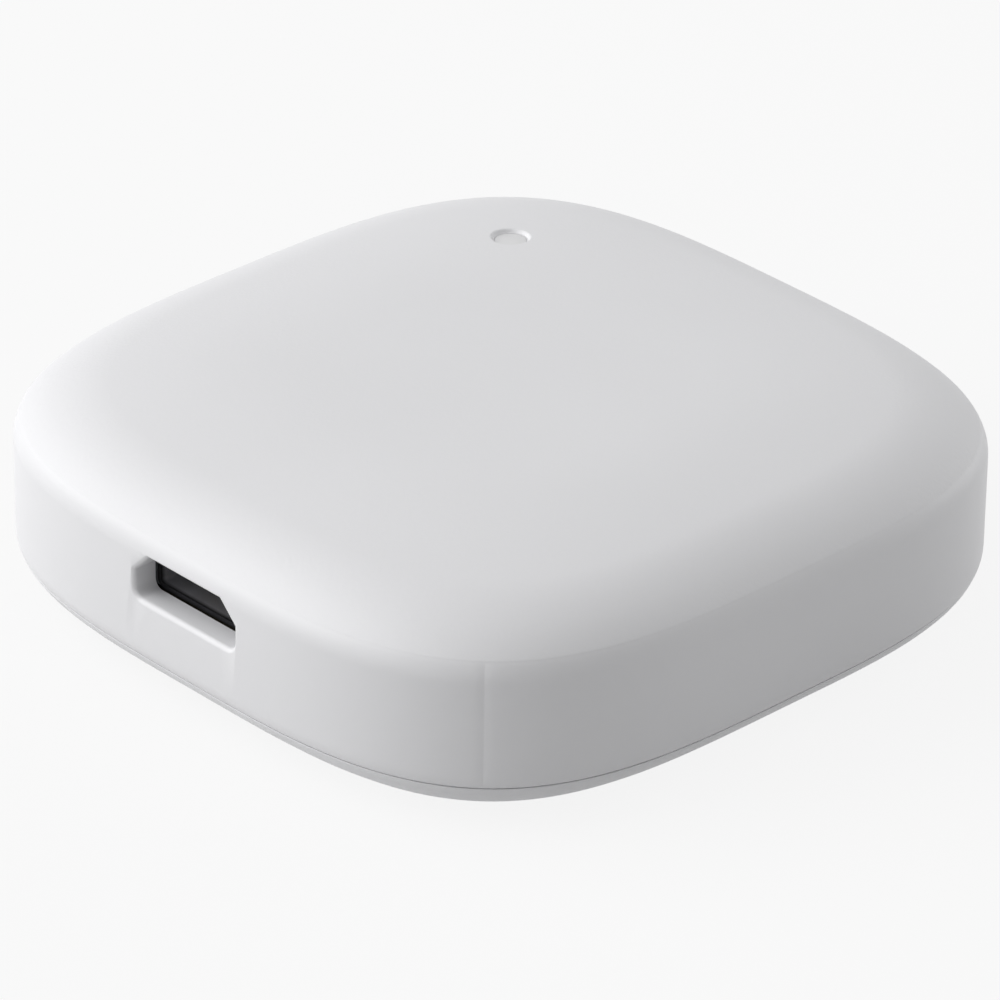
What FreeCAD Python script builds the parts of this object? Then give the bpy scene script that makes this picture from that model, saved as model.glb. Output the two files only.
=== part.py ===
"""Pocket location tracker: a domed, rounded-square housing with its board, cell, aerials and button.

Millimetres, +Z up. The origin is on the underside, under the middle of the housing.
The charging port is in the -Y wall, and the button is near the (-X, +Y) corner of the top.
"""
import FreeCAD, Part
import math
import os
from FreeCAD import Vector

# Housing outside
body_side = 42.1
body_height = 11.9
corner_radius = 12.17
side_turn = 5.26         # degrees that half a side turns through on its way to the corner
# Turns of the section, from the upright wall to the level: radius, slopes in degrees, tapers that make it up
crown_turns = ((2.1, 90.0, 56.0, 2), (3.0, 56.0, 30.0, 1), (8.5, 30.0, 8.0, 2), (53.0, 8.0, 0.0, 2))
foot_turns = ((2.38, 90.0, 30.0, 2), (9.2, 30.0, 0.0, 2))

# Housing walls and the joint between its halves
wall = 1.4
roof = 1.2
floor = 1.1
seam_z = 2.6
seam_gap = 0.12          # the fine groove that shows round the outside
lip_thickness = 0.7      # outer lip of the upper shell, which covers the spigot
spigot_height = 1.2
spigot_fit = 0.05
seal_height = 0.3        # sealing bead on top of the spigot

# Charging port
port_x = 0.13
port_z = 7.1
port_width = 7.3
port_height = 2.5
port_chamfer = 1.05       # slanted upper corners
port_corner = 0.5        # rounded lower corners
port_rim = 0.3           # rounding of the outer edge of the opening
rim_steps = 4
mouth_gap = 0.15         # from the housing's inner wall to the mouth of the receptacle

# Receptacle behind the port
receptacle_width = 7.3
receptacle_height = 2.45
receptacle_depth = 5.0
receptacle_sheet = 0.25
tongue_width = 3.9
tongue_thickness = 0.6
tongue_setback = 0.7     # from the mouth to the tip of the tongue
tongue_base = 1.3        # thickness of the block that closes the rear
contact_count = 5
contact_pitch = 0.65
contact_width = 0.35
contact_thickness = 0.1
tail_length = 0.9
contact_setback = 0.2    # from the tip of the tongue
tongue_rise = 0.1        # from the port's middle to the tongue's underside
leg_width = 0.9          # of the four solder legs
leg_mouth_offset = 1.2   # from the mouth to the first pair
leg_rear_offset = 0.7    # from the rear to the second pair
leg_play = 0.1
port_seal_width = 0.4
port_seal_length = 1.0
port_seal_fit = 0.03
port_seal_setback = 0.1  # from the mouth

# Main board
board_half = 19.1
board_thickness = 0.8
screw_offset = 13.6      # of the three screw places, from both middle planes
screw_radius = 0.7
screw_length = 3.3
screw_head_radius = 1.15
screw_head_height = 0.5
screw_hole_play = 0.1
pilot_rest = 0.2         # depth of the pilot hole beyond the screw's tip
boss_radius = 1.45

# Aerial frame, a moulded ring that stands on the board's edge
frame_half = 19.2        # outside of the ring
frame_thickness = 1.0
frame_roof_gap = 0.6     # from its top to the roof above it
lug_radius = 2.7
lug_thickness = 0.8
frame_notch = 10.4       # gap in the ring for the receptacle
aerial_sheet = 0.15
aerial_band = 1.5        # height of the metal band round the ring
aerial_leg_width = 1.2
aerial_leg_length = 1.5
aerial_leg_play = 0.1
aerial_leg_offset = 3.0  # of each of the two legs, from the middle of their side
cellular_span = (20.0, 150.0)   # directions that the band runs between
cellular_side = 90.0     # direction of the side that its legs are on
wifi_span = (165.0, 205.0)
wifi_side = 180.0
spring_sheet = 0.12
spring_width = 1.0
spring_length = 1.8
spring_foot = 1.2        # soldered to the board
contact_gap = 0.02       # between a spring and the leg that it touches

# Button and the tactile switch under it
button_x = -10.85
button_y = 10.85
button_recess = 0.3      # the cap lies this far under the top
dimple_radius = 1.08     # mouth of the recess
cap_radius = 0.88
cap_fit = 0.04           # running fit in the guide
guide_radius = 1.55
guide_length = 0.75      # below the inside of the roof
collar_radius = 1.45     # keeps the cap in
collar_thickness = 0.5
collar_gap = 0.02
stem_radius = 0.6
button_travel = 0.25
ring_section = 0.17      # half the width of the lathe-cut sealing ring's section
ring_fit = 0.02
ring_seat = 0.15         # half the height of the ring, a little under its groove's
ring_depth = 0.55        # from the cap's face down to the ring
switch_side = 3.2
switch_base_height = 0.9
switch_wall = 0.5
switch_cover_sheet = 0.15
switch_cover_lip = 0.25  # how far the cover plate comes down over the base
plunger_radius = 0.62
plunger_fit = 0.05
plunger_flange_radius = 0.95
plunger_flange_height = 0.2
plunger_rise = 0.45      # above the cover plate
plunger_gap = 0.02       # from the stem to the plunger
dome_radius = 0.95
dome_sheet = 0.08
led_size = (1.6, 0.8, 0.5)
led_gap = 0.5            # from the switch to the light

# Modules on the board: length in X, length in Y, height
modem_shield_size = (14.0, 12.0, 1.8)
modem_shield_at = (-7.4, -3.4)
modem_size = (10.2, 9.2, 1.0)
memory_size = (2.2, 6.4, 0.8)
radio_shield_size = (8.4, 7.6, 1.5)
radio_shield_at = (8.2, -5.8)
receiver_size = (3.0, 3.4, 0.8)
wifi_size = (3.2, 4.6, 0.8)
shield_sheet = 0.15
shield_corner = 0.8
shield_vent = (0.6, 2.2)  # a slot in the can's top
shield_vent_pitch = 1.5
shield_vent_inset = 1.0  # from the can's edge to the slots
modem_vent_count = 6
radio_vent_count = 3
chip_margin = 0.8        # from the inside of a shield to the chips
sim_size = (5.0, 6.0, 0.9)
sim_at = (-3.9, 8.4)
power_size = (4.0, 4.0, 0.8)
power_at = (-7.2, -12.5)
inductor_size = (3.0, 3.0, 1.2)
inductor_at = (7.0, -12.8)
crystal_size = (3.2, 2.5, 0.7)
crystal_at = (15.0, -4.4)
motion_size = (2.5, 3.0, 0.9)
motion_at = (-14.2, 5.4)
capacitor_size = (1.0, 0.5, 0.5)
capacitor_pitch = 1.1
capacitor_count = 4      # in each row
capacitor_rows = ((-10.6, 7.6), (14.4, -6.6), (-4.25, -11.2))   # where each row starts

# Ceramic patch aerial for the satellite signals
patch_size = (12.0, 12.0)
patch_roof_gap = 1.2     # from the top of the ceramic to the roof
patch_at = (6.6, 5.0)
patch_pad = 0.3          # adhesive pad under it
patch_pad_margin = 0.5
electrode_size = (9.0, 9.0)
electrode_trim = 1.2     # cut corner that tunes the patch
electrode_sheet = 0.1
pin_radius = 0.4
pin_head_radius = 0.8
pin_head_height = 0.25
pin_offset = 1.6
pin_play = 0.05

# Cell and its wiring
cell_pad = 0.2
cell_pad_margin = 1.5
cell_size = (24.0, 27.0, 3.3)
cell_corner = 1.2
terrace_length = 3.0
terrace_thickness = 0.4
terrace_root = 0.5       # how far the terrace runs into the cell's body
guard_board_size = (20.0, 1.0, 2.2)
guard_gap = 0.5          # from the cell to the small board on its terrace
tab_width = 3.0
tab_offset = 6.0
tab_thickness = 0.15
rib_gap = 0.25
rib_thickness = 0.8
rib_height = 2.2
rib_length = 8.0
lead_radius = 0.25
lead_pitch = 0.7
lead_z = 3.4
plug_size = (3.0, 3.2, 1.1)
plug_x = 15.4
plug_y = 7.6
plug_fit = 0.05
socket_wall = 0.5
plug_reach = 0.7         # how far the plug stands out of its socket

half = body_side / 2
inner_half = half - wall
board_top = port_z - receptacle_height / 2
board_bottom = board_top - board_thickness
cell_bottom = floor + cell_pad
mouth_y = -inner_half + mouth_gap
mouth_rear_y = mouth_y + receptacle_depth
UP = Vector(0, 0, 1)
screw_places = ((screw_offset, screw_offset), (screw_offset, -screw_offset), (-screw_offset, -screw_offset))


def cylinder(radius, z0, z1, x=0.0, y=0.0):
    return Part.makeCylinder(radius, z1 - z0, Vector(x, y, z0))


def box(x0, x1, y0, y1, z0, z1):
    return Part.makeBox(x1 - x0, y1 - y0, z1 - z0, Vector(x0, y0, z0))


def block(size, at, z):
    """A box of the given size, centred at a place on the plan, standing at height z."""
    return box(at[0] - size[0] / 2, at[0] + size[0] / 2, at[1] - size[1] / 2, at[1] + size[1] / 2, z, z + size[2])


def round_upright(solid, radius):
    """Round the upright edges of a block."""
    edges = [e for e in solid.Edges if abs(e.Vertexes[0].Z - e.Vertexes[-1].Z) > 1e-6]
    return solid.makeFillet(radius, edges)


def sin(degrees):
    return math.sin(math.radians(degrees))


def cos(degrees):
    return math.cos(math.radians(degrees))


def towards(degrees):
    return Vector(cos(degrees), sin(degrees), 0)


def plan_arcs():
    """The rounded-square plan as eight tangent arcs: centre, radius, first and last direction."""
    spread = cos(side_turn) - sin(side_turn)
    side_radius = (half - corner_radius * spread) / (1 - spread)
    side = Vector(half - side_radius, 0, 0)
    corner = side + towards(side_turn) * (side_radius - corner_radius)
    quarter = ((side, side_radius, -side_turn, side_turn),
               (corner, corner_radius, side_turn, 90 - side_turn))
    arcs = []
    for turn in (0, 90, 180, 270):
        for centre, radius, a0, a1 in quarter:
            at = towards(turn) * centre.x + towards(turn + 90) * centre.y
            arcs.append((at, radius, a0 + turn, a1 + turn))
    return arcs


arcs = plan_arcs()


def plan_face(size, z):
    """The plan set in evenly to the given half-size, at height z."""
    inset = half - size
    edges = [Part.makeCircle(radius - inset, centre + UP * z, UP, a0, a1) for centre, radius, a0, a1 in arcs]
    return Part.Face(Part.Wire(edges))


def plan_prism(size, z0, z1):
    return plan_face(size, z0).extrude(UP * (z1 - z0))


def plan_ring(outer, inner, z0, z1):
    return plan_prism(outer, z0, z1).cut(plan_prism(inner, z0 - 1, z1 + 1))


def turns_reach(turns):
    """How far in from the side the turns end."""
    return sum(radius * (sin(steep) - sin(shallow)) for radius, steep, shallow, tapers in turns)


def outer_section(turns, level, way):
    """Points of the section from its level edge out to the upright wall, as distance inward and height.

    The way is 1 up from the underside and -1 down from the crown.
    """
    inward, z = turns_reach(turns), level
    points = [(inward, z)]
    for radius, steep, shallow, tapers in reversed(turns):
        for i in range(1, tapers + 1):
            slope = shallow + (steep - shallow) * i / tapers
            points.append((inward - radius * (sin(slope) - sin(shallow)),
                           z + way * radius * (cos(shallow) - cos(slope))))
        inward, z = points[-1]
    return points


def inner_section(turns, level, way, skin):
    """The same inside a skin of even thickness, with one taper to a turn and a last one out to the wall."""
    inward, z = turns_reach(turns), level
    points = [(inward, z + way * skin)]
    for radius, steep, shallow, tapers in reversed(turns):
        inward -= radius * (sin(steep) - sin(shallow))
        z += way * radius * (cos(shallow) - cos(steep))
        if inward + skin * sin(steep) < wall:
            run = points[-1][0] - wall
            points.append((wall, points[-1][1] + way * run * math.tan(math.radians((steep + shallow) / 2))))
            return points
        points.append((inward + skin * sin(steep), z + way * skin * cos(steep)))
    return points


def swept_form(points):
    """The closed form whose section runs through the points, from the level underside to the level top."""
    faces = [plan_face(half - inward, z) for inward, z in (points[0], points[-1])]
    for centre, radius, a0, a1 in arcs:
        start = centre + Vector(radius, 0, 0)
        for (in0, z0), (in1, z1) in zip(points, points[1:]):
            edge = Part.makeLine(start + Vector(-in0, 0, z0), start + Vector(-in1, 0, z1))
            edge.rotate(centre, UP, a0)
            faces.append(edge.revolve(centre, UP, a1 - a0))
    shell = Part.Shell(faces)
    shell.sewShape()
    return Part.Solid(shell)


def housing_outside():
    return swept_form(outer_section(foot_turns, 0, 1) + outer_section(crown_turns, body_height, -1)[::-1])


def housing_inside():
    low = inner_section(foot_turns, 0, 1, floor)
    return swept_form(low + inner_section(crown_turns, body_height, -1, roof)[::-1])


outside = housing_outside()
inside = housing_inside()


def height_over(form, x, y):
    """Height of a form's top over a place on the plan."""
    return Part.makeLine(Vector(x, y, port_z), Vector(x, y, 2 * body_height)).common(form).BoundBox.ZMax


def outline_wire(width, height, chamfer, corner, y):
    """The port's outline: slanted upper corners and rounded lower ones, centred on the port."""
    x0, x1 = port_x - width / 2, port_x + width / 2
    z0, z1 = port_z - height / 2, port_z + height / 2
    bend = corner * (1 - math.sqrt(0.5))
    left = (Vector(x0, y, z0 + corner), Vector(x0 + bend, y, z0 + bend), Vector(x0 + corner, y, z0))
    right = (Vector(x1 - corner, y, z0), Vector(x1 - bend, y, z0 + bend), Vector(x1, y, z0 + corner))
    slant = (Vector(x1, y, z1 - chamfer), Vector(x1 - chamfer, y, z1))
    other = (Vector(x0 + chamfer, y, z1), Vector(x0, y, z1 - chamfer))
    edges = [Part.Arc(*left).toShape(), Part.makeLine(left[2], right[0]), Part.Arc(*right).toShape()]
    stops = (right[2], slant[0], slant[1], other[0], other[1], left[0])
    edges += [Part.makeLine(a, b) for a, b in zip(stops, stops[1:])]
    return Part.Wire(edges)


def port_outline(grow, y):
    """The opening's outline, grown evenly by the given amount."""
    slant = port_chamfer + grow * (2 - math.sqrt(2))
    return outline_wire(port_width + 2 * grow, port_height + 2 * grow, slant, port_corner + grow, y)


def receptacle_outline(grow, y):
    """The outline of the receptacle's sheet, which follows the opening."""
    slack = (port_width - receptacle_width) / 2
    slant = port_chamfer - (slack - grow) * (2 - math.sqrt(2))
    size = (receptacle_width + 2 * grow, receptacle_height + 2 * grow)
    return outline_wire(size[0], size[1], slant, max(port_corner - slack + grow, 0.15), y)


def prism_y(wire, length):
    return Part.Face(wire).extrude(Vector(0, length, 0))


def port_cutter():
    """The opening through the wall, flared at the outer edge to a rounded rim."""
    solid = prism_y(port_outline(0.0, -half), wall + 0.5)
    wires = []
    for i in range(rim_steps + 1):
        a = math.pi / 2 * i / rim_steps
        wires.append(port_outline(port_rim * (1 - math.cos(a)), -half + port_rim * (1 - math.sin(a))))
    flare = Part.makeLoft(wires, True, True)
    return solid.fuse([flare, prism_y(port_outline(port_rim, -half - 1.0), 1.0)])


def screw_boss(x, y):
    """A boss that hangs from the roof down to the aerial frame's lug, with a pilot hole."""
    z0 = board_top + lug_thickness
    pilot = cylinder(screw_radius + contact_gap, z0 - 1, board_bottom + screw_length + pilot_rest, x, y)
    top = (height_over(outside, x, y) + height_over(inside, x, y)) / 2
    return cylinder(boss_radius, z0, top, x, y), pilot


def top_shell():
    """The upper shell: crown, walls, screw bosses, button guide and port opening."""
    far = 2 * half
    high = box(-far, far, -far, far, seam_z + seam_gap / 2, body_height + 1)
    shell = outside.common(high).cut(inside)
    shell = shell.cut(plan_prism(half - lip_thickness, seam_z - 1, seam_z + spigot_height + seal_height))
    adds, cuts = [], [port_cutter()]
    for x, y in screw_places:
        boss, pilot = screw_boss(x, y)
        adds.append(boss)
        cuts.append(pilot)
    under = height_over(inside, button_x, button_y)
    adds.append(cylinder(guide_radius, under - guide_length, under + roof / 2, button_x, button_y))
    return shell.fuse(adds).cut(cuts + [button_hole()])


def button_hole():
    """The cap's bore, opening out into the dimple."""
    top = height_over(outside, button_x, button_y)
    bore = cap_radius + cap_fit
    flare = (dimple_radius - bore) / button_recess
    cone = Part.makeCone(bore, bore + 2 * flare * button_recess, 2 * button_recess,
                         Vector(button_x, button_y, top - button_recess))
    under = height_over(inside, button_x, button_y) - guide_length
    return cylinder(bore, under - 1, top - button_recess, button_x, button_y).fuse(cone)


def bottom_cover():
    """The shallow cover: floor, spigot that plugs into the shell, and ribs that hold the cell."""
    far = 2 * half
    low = box(-far, far, -far, far, -1, seam_z - seam_gap / 2)
    cover = outside.common(low).cut(inside)
    spigot = plan_ring(half - lip_thickness - spigot_fit, inner_half, seam_z - seam_gap, seam_z + spigot_height)
    parts = [spigot]
    x0 = cell_size[0] / 2 + rib_gap
    y0 = (cell_size[1] + terrace_length) / 2 + rib_gap
    z0, z1 = floor / 2, floor + rib_height
    for s in (-1, 1):
        xs = sorted((s * x0, s * (x0 + rib_thickness)))
        ys = sorted((s * y0, s * (y0 + rib_thickness)))
        parts.append(box(xs[0], xs[1], -rib_length / 2, rib_length / 2, z0, z1))
        parts.append(box(-rib_length / 2, rib_length / 2, ys[0], ys[1], z0, z1))
    return cover.fuse(parts)


def perimeter_seal():
    z0 = seam_z + spigot_height
    return plan_ring(half - lip_thickness - spigot_fit, inner_half + spigot_fit, z0, z0 + seal_height)


def button_cap():
    """Cap, sealing-ring groove, collar and stem. The face follows the dome."""
    top = height_over(outside, button_x, button_y)
    collar_top = height_over(inside, button_x, button_y) - guide_length - collar_gap
    collar_low = collar_top - collar_thickness
    face = outside.translated(UP * -button_recess)
    head = cylinder(cap_radius, collar_low, top, button_x, button_y).common(face)
    collar = cylinder(collar_radius, collar_low, collar_top, button_x, button_y)
    stem = cylinder(stem_radius, plunger_top() + plunger_gap, collar_low, button_x, button_y)
    ring_z = top - button_recess - ring_depth
    groove = cylinder(cap_radius + 1, ring_z - ring_section, ring_z + ring_section, button_x, button_y)
    core = cylinder(ring_core(), ring_z - 1, ring_z + 1, button_x, button_y)
    return head.fuse([collar, stem]).cut(groove.cut(core))


def ring_core():
    """Radius of the groove's floor, which the sealing ring sits on."""
    return cap_radius + cap_fit - ring_fit - 2 * ring_section


def button_seal_ring():
    z = height_over(outside, button_x, button_y) - button_recess - ring_depth
    outer = cylinder(ring_core() + 2 * ring_section, z - ring_seat, z + ring_seat, button_x, button_y)
    return outer.cut(cylinder(ring_core(), z - 1, z + 1, button_x, button_y))


def plunger_top():
    return board_top + switch_base_height + switch_cover_sheet + plunger_rise


def switch_base():
    """The switch's moulded base, with the well that holds the snap dome."""
    base = block((switch_side, switch_side, switch_base_height), (button_x, button_y), board_top)
    well_z = board_top + switch_base_height - well_depth()
    return base.cut(cylinder(switch_side / 2 - switch_wall, well_z, board_top + 2, button_x, button_y))


def well_depth():
    """Room for the plunger's flange, the raised dome and the travel."""
    return plunger_flange_height + dome_height() + plunger_gap


def dome_height():
    return button_travel + dome_sheet + 0.02


def switch_snap_dome():
    """A shallow spherical cap of spring sheet, standing on the floor of the well."""
    rise = dome_height() - dome_sheet
    radius = (dome_radius ** 2 + rise ** 2) / (2 * rise)
    z0 = board_top + switch_base_height - well_depth()
    low = Vector(button_x, button_y, z0 + rise - radius)
    cap = Part.makeSphere(radius + dome_sheet, low).cut(Part.makeSphere(radius, low))
    return cap.common(cylinder(dome_radius, z0, z0 + 1, button_x, button_y))


def switch_plunger():
    """The plunger stands on the dome and passes up through the cover plate."""
    z0 = board_top + switch_base_height - plunger_flange_height - plunger_gap / 2
    flange = cylinder(plunger_flange_radius, z0, z0 + plunger_flange_height, button_x, button_y)
    return flange.fuse(cylinder(plunger_radius, z0, plunger_top(), button_x, button_y))


def switch_cover():
    """A sheet-metal cover plate, bent down on two sides of the base."""
    z = board_top + switch_base_height
    side = switch_side + 2 * switch_cover_sheet
    plate = block((switch_side, side, switch_cover_sheet), (button_x, button_y), z)
    skirt = block((switch_side * 0.6, side, switch_cover_lip), (button_x, button_y), z - switch_cover_lip)
    skirt = skirt.cut(block((switch_side, switch_side, 2.0), (button_x, button_y), z - 1))
    return plate.fuse(skirt).cut(cylinder(plunger_radius + plunger_fit, z - 1, z + 1, button_x, button_y))


def status_led():
    at = (button_x + switch_side / 2 + led_gap + led_size[0] / 2, button_y)
    base = block((led_size[0], led_size[1], led_size[2] * 0.4), at, board_top)
    lens = block((led_size[0] * 0.7, led_size[1], led_size[2] * 0.6), at, board_top + led_size[2] * 0.4)
    return base.fuse(lens)


def main_board():
    board = plan_prism(board_half, board_bottom, board_top)
    hole = screw_radius + screw_hole_play
    holes = [cylinder(hole, board_bottom - 1, board_top + 1, x, y) for x, y in screw_places]
    return board.cut(holes + leg_slots())


def leg_slots():
    """Slots in the board for the receptacle's four solder legs."""
    slots = []
    for x0, x1, y0, y1 in leg_plans():
        slots.append(box(x0 - leg_play, x1 + leg_play, y0 - leg_play, y1 + leg_play,
                         board_bottom - 1, board_top + 1))
    return slots


def leg_plans():
    """Plan rectangles of the solder legs: a pair near the mouth and a pair near the rear."""
    plans = []
    outer = receptacle_width / 2
    for y in (mouth_y + leg_mouth_offset, mouth_rear_y - leg_rear_offset - leg_width):
        plans.append((port_x - outer, port_x - outer + receptacle_sheet, y, y + leg_width))
        plans.append((port_x + outer - receptacle_sheet, port_x + outer, y, y + leg_width))
    return plans


def board_screws():
    """Three screws, driven up through the board and the frame's lugs into the bosses."""
    screws = []
    for x, y in screw_places:
        head = cylinder(screw_head_radius, board_bottom - screw_head_height, board_bottom, x, y)
        screws.append(head.fuse(cylinder(screw_radius, board_bottom, board_bottom + screw_length, x, y)))
    return Part.makeCompound(screws)


def frame_top():
    return height_over(inside, frame_half, 0) - frame_roof_gap


def aerial_frame():
    """The ring with its three screw lugs, open where the receptacle passes."""
    z0, z1 = board_top, frame_top()
    ring = plan_ring(frame_half, frame_half - frame_thickness, z0, z1)
    lugs = [cylinder(lug_radius, z0, z0 + lug_thickness, x, y) for x, y in screw_places]
    hole = screw_radius + screw_hole_play
    cuts = [cylinder(hole, z0 - 1, z1, x, y) for x, y in screw_places]
    cuts.append(box(port_x - frame_notch / 2, port_x + frame_notch / 2, -half, 0, z0 - 1, z1 + 1))
    return ring.fuse(lugs).common(plan_prism(frame_half, z0, z1)).cut(cuts)


def sector(a0, a1):
    """An upright wedge between two directions, in degrees."""
    far = 2 * half
    steps = max(2, int(abs(a1 - a0) / 30))
    points = [Vector(0, 0, 0)]
    for i in range(steps + 1):
        a = math.radians(a0 + (a1 - a0) * i / steps)
        points.append(Vector(far * math.cos(a), far * math.sin(a), 0))
    points.append(points[0])
    return Part.Face(Part.makePolygon(points)).extrude(Vector(0, 0, body_height))


def aerial(span, side):
    """A metal band round the outside of the ring, with two legs folded over it to the inside of one side."""
    top = frame_top()
    outer = frame_half + aerial_sheet
    band = plan_ring(outer, frame_half, top - aerial_band, top).common(sector(*span))
    pieces = []
    for y in (-aerial_leg_offset, aerial_leg_offset):
        y0, y1 = y - aerial_leg_width / 2, y + aerial_leg_width / 2
        x0, x1 = leg_face(), leg_face() + aerial_sheet
        leg = box(x0, x1, y0, y1, top - aerial_leg_length, top + aerial_sheet)
        leg = leg.fuse(box(x0, outer - aerial_leg_play, y0, y1, top, top + aerial_sheet))
        leg.rotate(Vector(0, 0, 0), UP, side)
        pieces.append(leg)
    return band.fuse(pieces)


def leg_face():
    """How far out the inner face of a leg stands."""
    return frame_half - frame_thickness - aerial_leg_play - aerial_sheet


def cellular_aerial():
    return aerial(cellular_span, cellular_side)


def wifi_aerial():
    return aerial(wifi_span, wifi_side)


def aerial_springs():
    """Bent spring strips on the board, one against the inside of each leg."""
    mid = frame_top() - aerial_leg_length / 2
    t = spring_sheet
    x1 = leg_face() - contact_gap
    x0 = x1 - spring_length
    foot = x0 + spring_foot
    points = ((x0, board_top), (foot, board_top), (foot, board_top + t), (x0 + t, board_top + t),
              (x0 + t, mid - t), (x1, mid - t), (x1, mid), (x0, mid), (x0, board_top))
    springs = []
    for side in (cellular_side, wifi_side):
        for y in (-aerial_leg_offset, aerial_leg_offset):
            outline = [Vector(x, y - spring_width / 2, z) for x, z in points]
            spring = Part.Face(Part.makePolygon(outline)).extrude(Vector(0, spring_width, 0))
            spring.rotate(Vector(0, 0, 0), UP, side)
            springs.append(spring)
    return Part.makeCompound(springs)


def shield(size, at, vents):
    """A drawn can, open underneath, with a row of slots near one edge of its top."""
    t = shield_sheet
    can = round_upright(block(size, at, board_top), shield_corner)
    room = round_upright(block((size[0] - 2 * t, size[1] - 2 * t, size[2] - t), at, board_top), shield_corner - t)
    cuts = [room]
    for i in range(vents):
        x = at[0] + (i - (vents - 1) / 2) * shield_vent_pitch
        y = at[1] - size[1] / 2 + shield_vent_inset + shield_vent[1] / 2
        cuts.append(block((shield_vent[0], shield_vent[1], size[2] + 1), (x, y), board_top))
    return can.cut(cuts)


def side_by_side(size, at, left, right):
    """Places for two chips under one can, against its left and right inner walls."""
    x_left = at[0] - size[0] / 2 + chip_margin + left[0] / 2
    x_right = at[0] + size[0] / 2 - chip_margin - right[0] / 2
    return (x_left, at[1]), (x_right, at[1])


def capacitors():
    """Rows of small chip capacitors round the modules."""
    chips = []
    for x, y in capacitor_rows:
        for i in range(capacitor_count):
            chips.append(block(capacitor_size, (x, y - i * capacitor_pitch), board_top))
    return Part.makeCompound(chips)


def patch_z():
    return board_top + patch_pad


def patch_top():
    return body_height - roof - patch_roof_gap


def pin_place():
    return patch_at[0] + pin_offset, patch_at[1]


def satellite_patch():
    size = (patch_size[0], patch_size[1], patch_top() - patch_z())
    x, y = pin_place()
    return block(size, patch_at, patch_z()).cut(cylinder(pin_radius + pin_play, 0, body_height, x, y))


def patch_adhesive():
    x, y = pin_place()
    margin = 2 * patch_pad_margin
    pad = block((patch_size[0] - margin, patch_size[1] - margin, patch_pad), patch_at, board_top)
    return pad.cut(cylinder(pin_radius + pin_play, 0, body_height, x, y))


def patch_electrode():
    """The silvered top face, with one corner cut to tune it."""
    z = patch_top()
    plate = block((electrode_size[0], electrode_size[1], electrode_sheet), patch_at, z)
    x = patch_at[0] - electrode_size[0] / 2
    y = patch_at[1] - electrode_size[1] / 2
    corner = [Vector(x, y, z), Vector(x + electrode_trim, y, z), Vector(x, y + electrode_trim, z), Vector(x, y, z)]
    plate = plate.cut(Part.Face(Part.makePolygon(corner)).extrude(Vector(0, 0, 1)))
    px, py = pin_place()
    return plate.cut(cylinder(pin_radius + pin_play, 0, body_height, px, py))


def patch_pin():
    """The feed pin, headed on the electrode and soldered to the board."""
    x, y = pin_place()
    z = patch_top() + electrode_sheet
    shank = cylinder(pin_radius, board_top, z, x, y)
    return shank.fuse(cylinder(pin_head_radius, z, z + pin_head_height, x, y))


def charging_port_shell():
    """The receptacle's folded sheet sleeve, with four solder legs."""
    outer = prism_y(receptacle_outline(0.0, mouth_y), receptacle_depth)
    inner = prism_y(receptacle_outline(-receptacle_sheet, mouth_y - 1), receptacle_depth + 2)
    sleeve = outer.cut(inner)
    legs = [box(x0, x1, y0, y1, board_bottom, port_z) for x0, x1, y0, y1 in leg_plans()]
    return sleeve.fuse(legs).removeSplitter()


def tongue_z():
    """Underside of the tongue, a little above the middle of the sleeve."""
    return port_z + tongue_rise


def charging_port_insulator():
    """The block that closes the sleeve's rear, and the tongue that stands out of it."""
    rear = mouth_rear_y
    solid = prism_y(receptacle_outline(-receptacle_sheet, rear - tongue_base), tongue_base)
    tip = mouth_y + tongue_setback
    z = tongue_z()
    x0, x1 = port_x - tongue_width / 2, port_x + tongue_width / 2
    return solid.fuse(box(x0, x1, tip, rear - tongue_base / 2, z, z + tongue_thickness))


def charging_port_contacts():
    """Flat contacts under the tongue, with tails behind the block, on the board."""
    rear = mouth_rear_y
    front = mouth_y + tongue_setback + contact_setback
    z = tongue_z()
    contacts = []
    for i in range(contact_count):
        x = port_x + (i - (contact_count - 1) / 2) * contact_pitch
        xs = (x - contact_width / 2, x + contact_width / 2)
        contacts.append(box(xs[0], xs[1], front, rear - tongue_base, z - contact_thickness, z))
        contacts.append(box(xs[0], xs[1], rear, rear + tail_length, board_top, board_top + contact_thickness))
    return Part.makeCompound(contacts)


def port_seal():
    """The elastic collar round the receptacle's mouth, against the housing's wall."""
    y = mouth_y + port_seal_setback
    outer = prism_y(receptacle_outline(port_seal_width, y), port_seal_length)
    seal = outer.cut(prism_y(receptacle_outline(port_seal_fit, y - 1), port_seal_length + 2))
    return seal.cut(box(-half, half, -half, 0, 0, board_top))


def battery_cell():
    """A pouch cell: rounded along its long edges, with a thin sealed terrace at one end."""
    size = cell_size
    y0 = -(size[1] + terrace_length) / 2
    body = box(-size[0] / 2, size[0] / 2, y0, y0 + size[1], cell_bottom, cell_bottom + size[2])
    edges = [e for e in body.Edges if abs(e.Vertexes[0].Y - e.Vertexes[-1].Y) > 1]
    body = body.makeFillet(cell_corner, edges)
    x1 = size[0] / 2 - cell_corner
    y1 = y0 + size[1]
    terrace = box(-x1, x1, y1 - terrace_root, y1 + terrace_length, cell_bottom, cell_bottom + terrace_thickness)
    return body.fuse(terrace)


def terrace_y():
    """Where the cell's body ends and its terrace begins."""
    return -(cell_size[1] + terrace_length) / 2 + cell_size[1]


def guard_board():
    """The cell's protection board, on edge on the terrace."""
    y = terrace_y() + guard_gap + guard_board_size[1] / 2
    return block(guard_board_size, (0, y), cell_bottom + terrace_thickness)


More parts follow.
